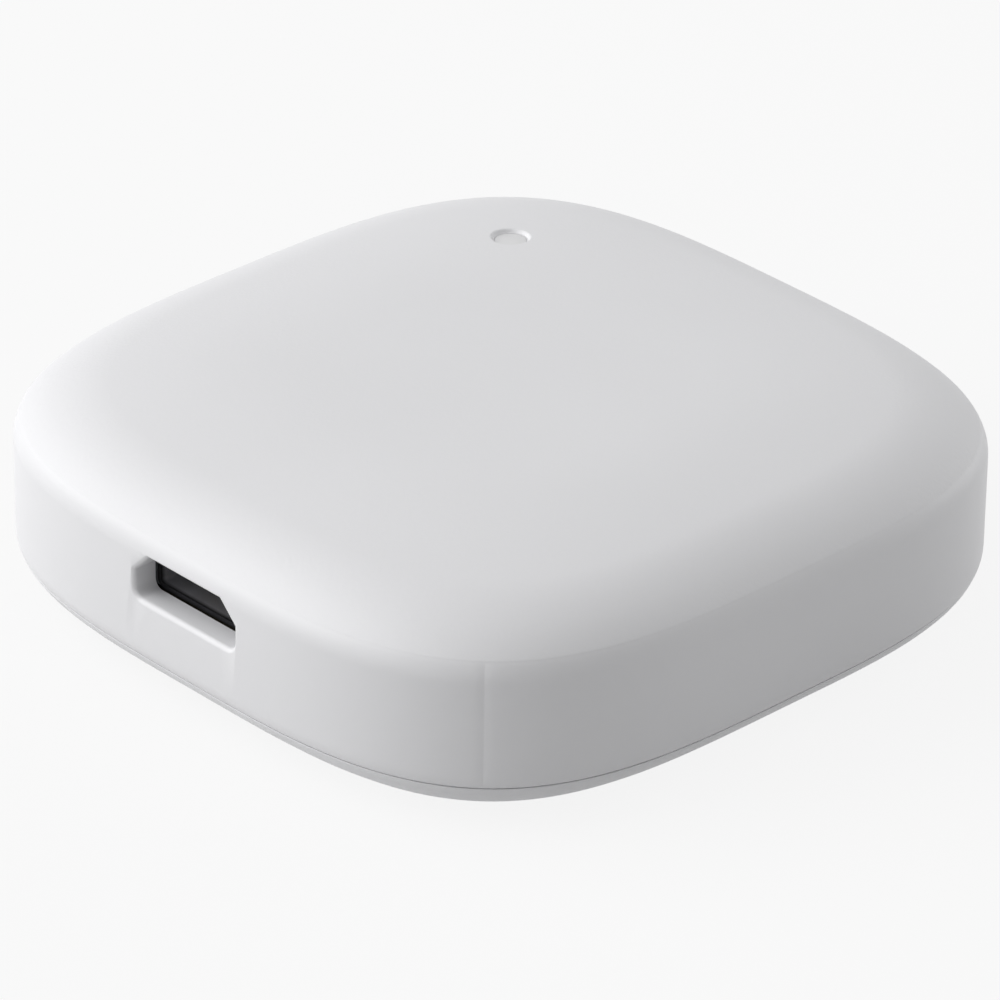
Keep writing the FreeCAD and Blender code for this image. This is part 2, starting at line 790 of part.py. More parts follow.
def cell_tabs():
    """Two flat tabs from the cell to the protection board."""
    y0 = terrace_y()
    z = cell_bottom + terrace_thickness + guard_board_size[2] / 2
    tabs = [box(x - tab_width / 2, x + tab_width / 2, y0, y0 + guard_gap, z, z + tab_thickness)
            for x in (-tab_offset, tab_offset)]
    return Part.makeCompound(tabs)


def cell_adhesive():
    margin = 2 * cell_pad_margin
    return block((cell_size[0] - margin, cell_size[1] - margin, cell_pad), (0, -terrace_length / 2), floor)


def lead(side):
    """One lead, from the protection board round a mitred corner to the plug; side is -1 inside, 1 outside."""
    offset = side * lead_pitch / 2
    x0, x1 = guard_board_size[0] / 2, plug_x + offset
    y0, y1 = terrace_y() + guard_gap + guard_board_size[1] / 2 + offset, plug_y + plug_size[1] / 2
    along = Part.makeCylinder(lead_radius, x1 + lead_radius - x0, Vector(x0, y0, lead_z), Vector(1, 0, 0))
    across = Part.makeCylinder(lead_radius, y0 + lead_radius - y1, Vector(x1, y1, lead_z), Vector(0, 1, 0))
    before = box(-half, 0, -half, half, 0, body_height)
    before.rotate(Vector(0, 0, 0), UP, -45)
    before.translate(Vector(x1, y0, 0))
    return along.common(before).fuse(across.cut(before))


def battery_lead_positive():
    return lead(1)


def battery_lead_negative():
    return lead(-1)


def battery_plug():
    return block(plug_size, (plug_x, plug_y), lead_z - plug_size[2] / 2)


def battery_socket():
    """The socket under the board: three walls round the plug, open to the leads."""
    w = plug_size[0] / 2 + plug_fit
    z0 = lead_z - plug_size[2] / 2
    y1 = plug_y + plug_size[1] / 2 - plug_reach
    y0 = plug_y - plug_size[1] / 2 - plug_fit
    outer = box(plug_x - w - socket_wall, plug_x + w + socket_wall, y0 - socket_wall, y1, z0, board_bottom)
    room = box(plug_x - w, plug_x + w, y0, y1 + 1, z0 - 1, z0 + plug_size[2] + plug_fit)
    return outer.cut(room)


def modules():
    """The chips and cans on the board, by name."""
    modem, memory = side_by_side(modem_shield_size, modem_shield_at, modem_size, memory_size)
    receiver, wifi = side_by_side(radio_shield_size, radio_shield_at, receiver_size, wifi_size)
    return {
        "modem_shield": shield(modem_shield_size, modem_shield_at, modem_vent_count),
        "modem_chip": block(modem_size, modem, board_top),
        "memory_chip": block(memory_size, memory, board_top),
        "radio_shield": shield(radio_shield_size, radio_shield_at, radio_vent_count),
        "satellite_receiver_chip": block(receiver_size, receiver, board_top),
        "wifi_chip": block(wifi_size, wifi, board_top),
        "sim_chip": block(sim_size, sim_at, board_top),
        "power_chip": block(power_size, power_at, board_top),
        "power_inductor": block(inductor_size, inductor_at, board_top),
        "clock_crystal": block(crystal_size, crystal_at, board_top),
        "motion_sensor": block(motion_size, motion_at, board_top),
        "capacitors": capacitors(),
    }


def model():
    pieces = {
        "top_shell": top_shell(),
        "bottom_cover": bottom_cover(),
        "perimeter_seal": perimeter_seal(),
        "button_cap": button_cap(),
        "button_seal_ring": button_seal_ring(),
        "switch_base": switch_base(),
        "switch_snap_dome": switch_snap_dome(),
        "switch_plunger": switch_plunger(),
        "switch_cover": switch_cover(),
        "status_led": status_led(),
        "main_board": main_board(),
        "board_screws": board_screws(),
        "aerial_frame": aerial_frame(),
        "cellular_aerial": cellular_aerial(),
        "wifi_aerial": wifi_aerial(),
        "aerial_springs": aerial_springs(),
        "satellite_patch": satellite_patch(),
        "patch_adhesive": patch_adhesive(),
        "patch_electrode": patch_electrode(),
        "patch_pin": patch_pin(),
        "charging_port_shell": charging_port_shell(),
        "charging_port_insulator": charging_port_insulator(),
        "charging_port_contacts": charging_port_contacts(),
        "port_seal": port_seal(),
        "battery_cell": battery_cell(),
        "cell_adhesive": cell_adhesive(),
        "guard_board": guard_board(),
        "cell_tabs": cell_tabs(),
        "battery_lead_positive": battery_lead_positive(),
        "battery_lead_negative": battery_lead_negative(),
        "battery_plug": battery_plug(),
        "battery_socket": battery_socket(),
    }
    pieces.update(modules())
    return pieces


os.makedirs("parts", exist_ok=True)
for name, shape in model().items():
    shape.exportStep("parts/" + name + ".step")
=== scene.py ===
"""Looks of a pocket location tracker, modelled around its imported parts.

Metres, +Z up. The origin is on the underside, under the middle of the housing.
The charging port is in the -Y wall, and the button is near the (-X, +Y) corner of the top.
"""
from math import asin, atan2, copysign, cos, degrees, pi, radians, sin, sqrt, tan, tau

import bmesh
import bpy
from bmesh.types import BMEdge, BMFace, BMVert
from bpy.props import FloatProperty, FloatVectorProperty, PointerProperty
from bpy.types import Operator, Panel, PropertyGroup
from mathutils import Matrix, Vector


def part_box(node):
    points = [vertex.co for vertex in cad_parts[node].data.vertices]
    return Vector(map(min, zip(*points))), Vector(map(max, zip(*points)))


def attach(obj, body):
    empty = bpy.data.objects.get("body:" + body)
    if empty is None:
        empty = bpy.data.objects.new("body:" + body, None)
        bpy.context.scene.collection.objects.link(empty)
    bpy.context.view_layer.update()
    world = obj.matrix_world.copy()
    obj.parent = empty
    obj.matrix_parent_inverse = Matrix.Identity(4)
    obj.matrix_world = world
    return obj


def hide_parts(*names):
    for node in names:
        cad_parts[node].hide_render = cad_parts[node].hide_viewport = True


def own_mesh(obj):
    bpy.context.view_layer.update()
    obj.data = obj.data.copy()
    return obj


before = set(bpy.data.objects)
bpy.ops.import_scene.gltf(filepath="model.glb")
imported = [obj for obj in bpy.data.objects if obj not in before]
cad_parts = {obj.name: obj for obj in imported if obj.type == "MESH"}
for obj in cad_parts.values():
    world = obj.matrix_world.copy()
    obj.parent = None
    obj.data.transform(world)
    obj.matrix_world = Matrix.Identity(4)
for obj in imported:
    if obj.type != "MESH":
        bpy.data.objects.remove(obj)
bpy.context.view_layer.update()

bl_info = {
    "name": "Pocket location tracker",
    "version": (1, 0, 0),
    "blender": (4, 5, 0),
    "location": "View3D > Sidebar > Tracker",
    "description": "Models the housing, port, button and board of a pocket location tracker",
    "category": "Add Mesh",
}

MM = 0.001
UP = Vector((0, 0, 1))

PLAN_SEGMENTS = 256  # round the housing; a multiple of 8 puts a point on each corner's middle
CROWN_STEPS = (7, 3, 8, 12, 9)  # over each turn of the crown
WALL_STEPS = 4  # from the groove up to the upright wall
FOOT_STEPS = 14  # from the groove down to the flat underside
BASIN_STEPS = 10  # over the rounding inside the cover
TURN_STEPS = 64  # round a small turned form
SCREW_STEPS = 32  # round a screw
SHARP_ANGLE = radians(32)  # edges that bend more are shaded sharp
BEND = 0.7  # radians; edges that bend more count as corners to be rounded

SKIN = 0.5 * MM  # what lies nearer than this to the plan's curve is the outer wall
LINE_WIDTH = 0.1 * MM  # of the mould's lines
GROOVE_EDGE = 0.07 * MM  # rounding of both halves' edges at the groove
SPIGOT_FIT = 0.05 * MM  # between the cover's spigot and the shell's lip
BASIN_REACH = 4.4 * MM  # how far in from the walls the rounding inside the cover ends

BOSS_PLACES = ((13.6 * MM, 13.6 * MM), (13.6 * MM, -13.6 * MM), (-13.6 * MM, -13.6 * MM))
BOSS_RADIUS = 1.45 * MM
BOSS_LIFT = 0.8 * MM  # from the board to the bosses, for the aerial frame's lugs
PILOT_RADIUS = 0.72 * MM
ROOT = 0.5 * MM  # how far under the crown's face bosses and guide end
RIBS = ((12.65 * MM, 0, 0.8 * MM, 8 * MM), (-12.65 * MM, 0, 0.8 * MM, 8 * MM),
        (0, 15.65 * MM, 8 * MM, 0.8 * MM), (0, -15.65 * MM, 8 * MM, 0.8 * MM))  # middle, size
RIB_SPAN = (0.55 * MM, 3.3 * MM)  # heights of the ribs' feet and tops


def linear(colour):
    """A hex sRGB colour as three linear values."""
    channels = [int(colour[i:i + 2], 16) / 255 for i in (1, 3, 5)]
    return tuple(c / 12.92 if c <= 0.04045 else ((c + 0.055) / 1.055) ** 2.4 for c in channels)


# Settings

def place(name, description, millimetres, **limits):
    return FloatProperty(name=name, description=description, default=millimetres * MM, precision=5,
                         unit="LENGTH", subtype="DISTANCE", **limits)


def length(name, description, millimetres):
    return place(name, description, millimetres, min=0.0)


def rotation(name, description, angle):
    return FloatProperty(name=name, description=description, default=radians(angle),
                         unit="ROTATION")


def number(name, description, default, low=0.0):
    return FloatProperty(name=name, description=description, default=default, min=low)


def colour(name, description, default):
    return FloatVectorProperty(name=name, description=description, default=linear(default), size=3,
                               min=0.0, max=1.0, subtype="COLOR")


class HousingSizes(PropertyGroup):
    half: length("Half side", "Half the width of the housing", 21.05)
    height: length("Height", "Height of the middle of the crown", 11.9)
    squareness: number("Squareness", "Power of the rounded-square plan; 2 is a circle", 3.376, 2.0)
    crown_radii: FloatVectorProperty(
        name="Crown radii", description="Radii of the crown's turns, from the wall inwards",
        size=5, min=0.0, precision=5, unit="LENGTH",
        default=[radius * MM for radius in (2.07, 0.8, 5.47, 7.25, 60.13)])
    crown_slopes: FloatVectorProperty(
        name="Crown slopes", description="Steepness where the turns meet, from the wall inwards",
        size=6, min=0.0, unit="ROTATION", default=[radians(a) for a in (90, 56, 46, 30, 8, 0)])
    foot_reach: length("Foot reach", "How far in the underside's rounding ends", 6.1)
    foot_change: number("Foot change", "Share by which that is more at the sides' middles and less "
                        "at the corners", 0.065)
    foot_rise: length("Foot rise", "Height of the underside's rounding", 3.32)
    wall: length("Wall", "Thickness of the side walls", 1.4)
    roof: length("Roof", "Thickness of the crown", 1.2)
    floor: length("Floor", "Thickness of the cover", 1.1)
    seam: length("Seam height", "Height of the groove between the halves", 2.6)
    seam_gap: length("Seam gap", "Width of the groove between the halves", 0.06)
    lip: length("Lip", "Thickness of the upper shell's lip outside the spigot", 0.7)
    spigot: length("Spigot", "Height of the cover's spigot above the groove", 1.2)
    seal: length("Seal", "Height of the sealing bead", 0.3)
    witness: length("Witness depth", "Depth of the mould's line round the crown", 0.006)
    corner_line: length("Corner line depth", "Depth of the mould's lines up the corners", 0.012)


class PortSizes(PropertyGroup):
    x: place("Port X", "Place of the port along the wall", 0.13)
    z: place("Port height", "Height of the port's middle", 7.1)
    width: length("Width", "Width of the opening", 7.3)
    height: length("Height", "Height of the opening", 2.5)
    slant: length("Slant", "Size of the slanted upper corners", 1.05)
    corner: length("Corner", "Radius of the lower corners", 0.5)
    rim: length("Rim", "Rounding of the outer edge", 0.3)


class ButtonSizes(PropertyGroup):
    x: place("Button X", "Place of the button", -10.85)
    y: place("Button Y", "Place of the button", 10.85)
    recess: length("Recess", "How far the cap lies under the crown", 0.2)
    mouth: length("Mouth radius", "Radius of the recess at the crown", 1.03)
    bore: length("Bore radius", "Radius of the cap's guide", 0.85)
    cap: length("Cap radius", "Radius of the cap", 0.838)
    guide: length("Guide radius", "Outside of the guide under the crown", 1.55)
    guide_length: length("Guide length", "Length of the guide under the crown", 0.75)


class FinishColours(PropertyGroup):
    housing: colour("Housing", "Moulded polycarbonate of the two halves", "#E1E1E3")
    cap: colour("Button", "Milky polycarbonate of the button's cap", "#DEDEDF")
    seal: colour("Seals", "Silicone of the seals", "#8F9296")
    board: colour("Board", "Solder mask of the boards", "#1C5A3F")
    moulding: colour("Dark mouldings", "Aerial frame, battery socket and switch", "#26272A")
    plate: colour("Plate", "Nickel plate of the cans, the switch cover and the screws", "#C9C6C0")
    gold: colour("Gold", "Gold flash of the aerials and contacts", "#E3BE7A")
    ceramic: colour("Ceramic", "Fired ceramic of the patch and the capacitors", "#C2A37C")
    foil: colour("Foil", "Laminated foil of the cell's pouch", "#C4C7CB")


class StageSettings(PropertyGroup):
    azimuth: rotation("Azimuth", "Direction of the view", 46.412)
    elevation: rotation("Elevation", "Height of the view", 29.264)
    roll: rotation("Roll", "Turn of the view about its own line", 0.784)
    distance: length("Distance", "From the middle of the housing to the camera", 358.919)
    lens: number("Lens", "Focal length on a 36 mm sensor, in millimetres", 258.93, 1.0)
    across: place("Across", "How far the housing is to the right of the picture's middle", -0.0056)
    above: place("Above", "How far the housing is above the picture's middle", 1.0425)
    key: number("Key light", "Power of the soft light on the left, in watts", 2.52)
    fill: number("Fill light", "Power of the weak light behind on the right, in watts", 0.78)
    ambient: number("Ambient", "Strength of the even light from all round", 0.4)


# Curves of the housing

def plan_outward(power, x, y):
    """Direction square to the rounded-square plan at a place on it."""
    return Vector([copysign(abs(c) ** (power - 1), c) for c in (x, y)] + [0])


def plan_point(sizes, x, y, inset=0.0):
    """The point of the plan in a direction, set in evenly by a distance."""
    power = sizes.squareness
    ray = Vector((x, y, 0)).normalized()
    grow = (abs(ray.x) ** power + abs(ray.y) ** power) ** (-1 / power)
    outward = plan_outward(power, ray.x, ray.y).normalized()
    return ray * (grow * sizes.half - inset / ray.dot(outward))


def foot_point(sizes, direction, slope):
    """A point of the underside's rounding, by angle from the upright wall.

    It turns in later at the corners.
    """
    change = sizes.foot_change * cos(4 * atan2(direction.y, direction.x))
    inset = sizes.foot_reach * (1 + change) * (1 - cos(slope))
    height = sizes.foot_rise * (1 - sin(slope))
    return plan_point(sizes, direction.x, direction.y, inset) + UP * height


def foot_slope(sizes, height):
    return asin(1 - height / sizes.foot_rise)


def crown_turns(sizes):
    """Each turn of the crown: its radius, its two slopes, and the inset and height it starts at."""
    slopes, radii = list(sizes.crown_slopes), list(sizes.crown_radii)
    spans = list(zip(radii, slopes, slopes[1:]))
    inset = 0.0
    height = sizes.height - sum(radius * (cos(end) - cos(start)) for radius, start, end in spans)
    turns = []
    for radius, start, end in spans:
        turns.append((radius, start, end, inset, height))
        inset += radius * (sin(start) - sin(end))
        height += radius * (cos(end) - cos(start))
    return turns


def crease_height(sizes):
    return crown_turns(sizes)[1][4]


def on_turn(turn, slope):
    """Inset and height on a turn where it has a slope."""
    radius, start, _, inset, height = turn
    return (inset + radius * (sin(start) - sin(slope)),
            height + radius * (cos(slope) - cos(start)))


def outer_crown(sizes):
    """Stations over the crown, with the mould's fine line where the first turn ends."""
    stations = []
    for i, (turn, steps) in enumerate(zip(crown_turns(sizes), CROWN_STEPS)):
        radius, start, end = turn[:3]
        slopes = [start + (end - start) * step / steps for step in range(1 if i else 0, steps + 1)]
        beside = LINE_WIDTH / 2 / radius
        if i == 0:
            slopes[-1:] = [end + beside, end]
        if i == 1:
            slopes[:0] = [start - beside]
        for slope in slopes:
            inset, height = on_turn(turn, slope)
            sunk = sizes.witness if i == 0 and slope == end else 0.0
            stations.append((inset + sunk * sin(slope), height - sunk * cos(slope)))
    return stations


def ceiling(sizes):
    """Stations of the crown's inner face, evenly under the outer one, from the wall inwards."""
    stations = []
    for turn, steps in zip(crown_turns(sizes), CROWN_STEPS):
        for step in range(steps + 1):
            slope = turn[1] + (turn[2] - turn[1]) * step / steps
            inset, height = on_turn(turn, slope)
            inset += sizes.roof * sin(slope)
            height -= sizes.roof * cos(slope)
            if inset > sizes.wall and (not stations or inset > stations[-1][0] + 0.01 * MM):
                stations.append((inset, height))
    return stations


def crown_point(sizes, x, y):
    """Height of the crown over a place, and its upward normal there."""
    power = sizes.squareness
    size = (abs(x) ** power + abs(y) ** power) ** (1 / power)
    turn = [turn for turn in crown_turns(sizes) if turn[3] <= sizes.half - size][-1]
    radius, start, _, inset, _ = turn
    slope = asin(max(0.0, sin(start) - (sizes.half - size - inset) / radius))
    gradient = plan_outward(power, x / size, y / size)
    return on_turn(turn, slope)[1], (UP + gradient * tan(slope)).normalized()


def arc(radius, centre, start, end, steps=6):
    """Radius and height pairs round part of a circle, between two angles in degrees."""
    points = []
    for i in range(steps + 1):
        a = radians(start + (end - start) * i / steps)
        points.append((centre[0] + radius * cos(a), centre[1] + radius * sin(a)))
    return points


# Meshes

def once(groups):
    """Each item of the groups once, in their order."""
    return list(dict.fromkeys(item for group in groups for item in group))


def only(kind, items):
    return [item for item in items if isinstance(item, kind)]


def plan_loop(bm, sizes):
    """The plan as a loop of edges at height 0."""
    ring = bmesh.ops.create_circle(bm, cap_ends=False, radius=1.0, segments=PLAN_SEGMENTS)["verts"]
    for vert in ring:
        vert.co = plan_point(sizes, vert.co.x, vert.co.y)
    return once(vert.link_edges for vert in ring)


def drawn_out(bm, edges):
    """Extrude a loop of edges; the new verts and the new loop come back."""
    made = bmesh.ops.extrude_edge_only(bm, edges=edges)["geom"]
    return only(BMVert, made), [edge for edge in only(BMEdge, made) if edge.is_boundary]


def step_in(bm, edges, sizes, stations):
    """Carry a loop through stations of inset and height, each inset even all round."""
    for inset, height in stations:
        verts, edges = drawn_out(bm, edges)
        for vert in verts:
            vert.co = plan_point(sizes, vert.co.x, vert.co.y, inset) + UP * height
    return edges


def foot(bm, edges, sizes, start, end, steps):
    """Carry a loop over the underside's rounding between two slopes, from where it moves to."""
    for step in range(steps + 1):
        verts = once(edge.verts for edge in edges)
        if step:
            verts, edges = drawn_out(bm, edges)
        for vert in verts:
            vert.co = foot_point(sizes, vert.co, start + (end - start) * step / steps)
    return edges


def loft(bm, edges, size, stations):
    """Carry a loop through stations of inset and height, shrinking it evenly.

    Its half-size at no inset is given, and the loop itself moves to the first station.
    """
    first, z = size, edges[0].verts[0].co.z
    for i, (inset, height) in enumerate(stations):
        verts = once(edge.verts for edge in edges)
        if i:
            verts, edges = drawn_out(bm, edges)
        share = (first - inset) / size
        bmesh.ops.scale(bm, vec=(share, share, 1), verts=verts)
        bmesh.ops.translate(bm, vec=(0, 0, height - z), verts=verts)
        size, z = first - inset, height
    return edges


def close(bm, edges):
    bmesh.ops.contextual_create(bm, geom=edges)


def rounded(bm, geom, radius, segments=3, affect="EDGES"):
    bmesh.ops.bevel(bm, geom=geom, offset=radius, segments=segments, profile=0.5, affect=affect,
                    material=-1, offset_type="OFFSET", clamp_overlap=affect == "EDGES")


def soften_level(bm, height):
    """Round the sharp edges of a half that lie at one height, beside the groove."""
    level = [edge for edge in bm.edges
             if len(edge.link_faces) == 2 and edge.calc_face_angle(0) > BEND
             and all(abs(vert.co.z - height) < 0.01 * MM for vert in edge.verts)]
    rounded(bm, level, GROOVE_EDGE)


def block(bm, middle, size):
    """A box; its verts come back."""
    verts = bmesh.ops.create_cube(bm, size=1.0)["verts"]
    bmesh.ops.scale(bm, vec=size, verts=verts)
    bmesh.ops.translate(bm, vec=middle, verts=verts)
    return verts


def turned(bm, profile, at, steps=TURN_STEPS):
    """A closed form turned about the upright line through a place, from radius and height pairs."""
    verts = [bm.verts.new((at[0] + radius, at[1], z)) for radius, z in profile]
    edges = [bm.edges.new(pair) for pair in zip(verts, verts[1:])]
    bmesh.ops.spin(bm, geom=verts + edges, cent=(*at, 0), axis=UP, angle=2 * pi, steps=steps,
                   use_merge=True)
    bmesh.ops.remove_doubles(bm, verts=bm.verts, dist=1e-7)
    bmesh.ops.recalc_face_normals(bm, faces=bm.faces)


def in_scene(name, data):
    thing = bpy.data.objects.new(name, data)
    bpy.context.scene.collection.objects.link(thing)
    return thing


def new_piece(name, bm):
    """A finished mesh as an object at the origin."""
    mesh = bpy.data.meshes.new(name)
    bm.to_mesh(mesh)
    bm.free()
    return in_scene(name, mesh)


def cylinder(name, radius, low, high, at, steps=TURN_STEPS):
    bm = bmesh.new()
    turned(bm, [(0, low), (radius, low), (radius, high), (0, high)], at, steps)
    return new_piece(name, bm)


def upright_block(name, x, y, wide, deep, low, high):
    """A block with its upper edges taken off."""
    bm = bmesh.new()
    block(bm, (x, y, (low + high) / 2), (wide, deep, high - low))
    top = [edge for edge in bm.edges if all(vert.co.z > high - 1e-6 for vert in edge.verts)]
    rounded(bm, top, 0.15 * MM, 2)
    return new_piece(name, bm)


def combine(piece, forms, operation):
    """Join closed forms to a piece or cut them from it, and keep the result as its mesh."""
    for form in forms:
        modifier = piece.modifiers.new(form.name, "BOOLEAN")
        modifier.operation = operation
        modifier.solver = "EXACT"
        modifier.object = form
    shown = piece.evaluated_get(bpy.context.evaluated_depsgraph_get())
    mesh = bpy.data.meshes.new_from_object(shown)
    spent = [piece.data] + [form.data for form in forms]
    piece.modifiers.clear()
    piece.data = mesh
    for old in spent:
        bpy.data.meshes.remove(old)
    mesh.name = piece.name


def dress(piece, mat, body, node):
    """Give a piece its material, its body and the node that it stands for."""
    piece.data.materials.clear()
    piece.data.materials.append(mat)
    piece.data.shade_smooth()
    piece.data.set_sharp_from_angle(angle=SHARP_ANGLE)
    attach(piece, body)
    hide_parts(node)
    return piece


# Pieces

def upper_blank(sizes):
    """The upper shell before its openings: crown, walls, lip and rebate, closed all round."""
    bm = bmesh.new()
    low = sizes.seam + sizes.seam_gap / 2
    outer = plan_loop(bm, sizes)
    wall = foot(bm, outer, sizes, foot_slope(sizes, low), 0.0, WALL_STEPS)
    close(bm, loft(bm, drawn_out(bm, wall)[1], sizes.half, outer_crown(sizes)))
    shoulder = sizes.seam + sizes.spigot + sizes.seal
    hollow = ceiling(sizes)
    inner = step_in(bm, outer, sizes, ((sizes.lip, low), (sizes.lip, shoulder),
                                       (sizes.wall, shoulder), (sizes.wall, hollow[0][1])))
    hollow = [(inset - sizes.wall, height) for inset, height in hollow]
    close(bm, loft(bm, inner, sizes.half - sizes.wall, hollow))
    bmesh.ops.recalc_face_normals(bm, faces=bm.faces)
    soften_level(bm, low)
    mould_lines(bm, sizes)
    return new_piece("upper_shell", bm)


def mould_lines(bm, sizes):
    """Press a fine upright line into each corner of the wall, where the mould's slides met."""
    low, high = sizes.seam + 0.1 * MM, crease_height(sizes)
    near, below_crease = 1 * MM, 0.02 * MM

    def on_wall(point, top):
        skin = plan_point(sizes, point.x, point.y, SKIN).length < point.xy.length
        return skin and low < point.z < top

    for side in (1, -1):
        across = Vector((1, side, 0)).normalized()
        for shift in (-LINE_WIDTH / 2, LINE_WIDTH / 2):
            middles = ((face, face.calc_center_median()) for face in bm.faces)
            faces = [face for face, middle in middles
                     if on_wall(middle, high) and abs(middle.dot(across)) < near]
            geom = once((face, *face.edges, *face.verts) for face in faces)
            bmesh.ops.bisect_plane(bm, geom=geom, dist=1e-8, plane_co=across * shift,
                                   plane_no=across)
    for vert in bm.verts:
        on_corner = abs(abs(vert.co.x) - abs(vert.co.y)) < 1e-7
        if on_corner and on_wall(vert.co, high - below_crease):
            vert.co -= Vector((vert.co.x, vert.co.y, 0)).normalized() * sizes.corner_line


def lower_blank(sizes):
    """The shallow cover: floor, foot, spigot and hollow."""
    bm = bmesh.new()
    high = sizes.seam - sizes.seam_gap / 2
    outer = plan_loop(bm, sizes)
    close(bm, foot(bm, outer, sizes, foot_slope(sizes, high), pi / 2, FOOT_STEPS))
    rim, spigot = sizes.seam + sizes.spigot, sizes.lip + SPIGOT_FIT
    inner = step_in(bm, outer, sizes, ((spigot, high), (spigot, rim),
                                       (sizes.wall, rim), (sizes.wall, high)))
    slopes = [radians(90 * step / BASIN_STEPS) for step in range(BASIN_STEPS + 1)]
    basin = [(BASIN_REACH * (1 - cos(a)), high - (high - sizes.floor) * sin(a)) for a in slopes]
    close(bm, loft(bm, inner, sizes.half - sizes.wall, basin))
    bmesh.ops.recalc_face_normals(bm, faces=bm.faces)
    soften_level(bm, high)
    return new_piece("lower_cover", bm)


def port_outline(bm, port, y):
    """The opening's outline at its widest, as a face with slanted upper corners."""
    grow = port.rim
    corners = bmesh.ops.create_grid(bm, x_segments=1, y_segments=1, size=0.5)["verts"]
    bmesh.ops.scale(bm, vec=(port.width + 2 * grow, port.height + 2 * grow, 1), verts=corners)
    bmesh.ops.rotate(bm, matrix=Matrix.Rotation(pi / 2, 3, "X"), verts=corners)
    bmesh.ops.translate(bm, vec=(port.x, y, port.z), verts=corners)
    upper = [vert for vert in corners if vert.co.z > port.z]
    lower = [vert for vert in corners if vert.co.z < port.z]
    rounded(bm, upper, port.slant + grow * (2 - sqrt(2)), 1, "VERTICES")
    rounded(bm, lower, port.corner + grow, 6, "VERTICES")
    return next(iter(bm.faces))


def pushed(bm, face, along, keep=False):
    """Extrude a face by a vector; the new face comes back."""
    made = bmesh.ops.extrude_face_region(bm, geom=[face])["geom"]
    bmesh.ops.translate(bm, vec=along, verts=only(BMVert, made))
    if not keep:
        bmesh.ops.delete(bm, geom=[face], context="FACES_ONLY")
    face = only(BMFace, made)[0]
    face.normal_update()
    return face


def port_cutter(sizes, port):
    """The opening through the wall, flared to a rounded rim at its outer edge."""
    bm = bmesh.new()
    out, past = 1 * MM, 0.6 * MM
    start = port_outline(bm, port, -sizes.half - out)
    face = pushed(bm, start, Vector((0, out, 0)), keep=True)
    grow, depth = port.rim, 0.0
    for new_grow, new_depth in arc(port.rim, (port.rim, port.rim), 270, 180, 8)[1:]:
        inward = (new_depth - depth) * copysign(1, face.normal.y)
        bmesh.ops.inset_region(bm, faces=[face], thickness=grow - new_grow, depth=inward,
                               use_even_offset=True, use_boundary=True)
        grow, depth = new_grow, new_depth
    pushed(bm, face, Vector((0, sizes.wall + past - port.rim, 0)))
    bmesh.ops.recalc_face_normals(bm, faces=bm.faces)
    return new_piece("port_cutter", bm)


def button_cutters(sizes, button):
    """The cap's bore, and the recess with a softly rounded mouth square to the crown."""
    at = (button.x, button.y)
    height, normal = crown_point(sizes, *at)
    bore = cylinder("bore_cutter", button.bore, 7 * MM, height, at)
    soft, toe = 0.13 * MM, 0.07 * MM
    rim = button.mouth + soft / 2
    profile = [(0, -button.recess)]
    profile += arc(toe, (button.bore + 0.02 * MM, toe - button.recess), 270, 325, 4)
    profile += arc(soft, (rim, -soft - 0.01 * MM), 150, 90)
    profile += [(rim, 1 * MM), (0, 1 * MM)]
    mouth = bmesh.new()
    turned(mouth, profile, (0, 0))
    lean = UP.rotation_difference(normal).to_matrix().to_4x4()
    mouth.transform(Matrix.Translation((*at, height)) @ lean)
    return [bore, new_piece("mouth_cutter", mouth)]


def button_cap(sizes, button):
    """The cap with its stem, its flange and its seal's groove; its face lies as the crown."""
    height, normal = crown_point(sizes, button.x, button.y)
    low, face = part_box("button_cap")[0].z, height - button.recess
    stem, flange, thick, soft = 0.6 * MM, 1.45 * MM, 0.5 * MM, 0.03 * MM
    collar = height - sizes.roof - button.guide_length - 0.05 * MM
    neck, groove, half = 0.56 * MM, face - 0.55 * MM, 0.17 * MM
    profile = [(0, low), (stem, low), (stem, collar - thick), (flange, collar - thick),
               (flange, collar), (button.cap, collar), (button.cap, groove - half),
               (neck, groove - half), (neck, groove + half), (button.cap, groove + half)]
    profile += arc(soft, (button.cap - soft, face - soft), 0, 90, 4) + [(0, face)]
    bm = bmesh.new()
    turned(bm, profile, (button.x, button.y))
    for vert in bm.verts:
        if vert.co.z > face - 0.2 * MM:
            beside = normal.x * (vert.co.x - button.x) + normal.y * (vert.co.y - button.y)
            vert.co.z -= beside / normal.z
    return new_piece("button", bm)


def moulded_chip(node):
    """A chip's body with its moulded slopes and the dimple that marks its first contact."""
    low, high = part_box(node)
    middle, size = (low + high) / 2, high - low
    draft, soft, inward, radius, depth = (mm * MM for mm in (0.1, 0.05, 0.5, 0.18, 0.04))
    bm = bmesh.new()
    top = [vert for vert in block(bm, middle, size) if vert.co.z > middle.z]
    share = 1 - draft / min(size.x, size.y)
    bmesh.ops.scale(bm, vec=(share, share, 1), verts=top, space=Matrix.Translation(-middle))
    rounded(bm, [edge for edge in bm.edges if set(edge.verts) & set(top)], soft, 2)
    chip = new_piece(node + "_body", bm)
    at = (low.x + inward, high.y - inward)
    combine(chip, [cylinder("dimple", radius, high.z - depth, high.z + MM, at, 24)], "DIFFERENCE")
    return chip


def snap_dome():
    """The switch's domed spring leaf."""
    low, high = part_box("switch_snap_dome")
    radius, rise, leaf = (high.x - low.x) / 2, high.z - low.z, 0.06 * MM
    sphere = (radius ** 2 + rise ** 2) / (2 * rise)
    centre = (0, high.z - sphere)
    outer, inner = (arc(size, centre, degrees(asin((low.z - centre[1]) / size)), 90, 10)
                    for size in (sphere, sphere - leaf))
    bm = bmesh.new()
    turned(bm, outer[::-1] + inner, ((low.x + high.x) / 2, (low.y + high.y) / 2), 48)
    return new_piece("snap_dome", bm)


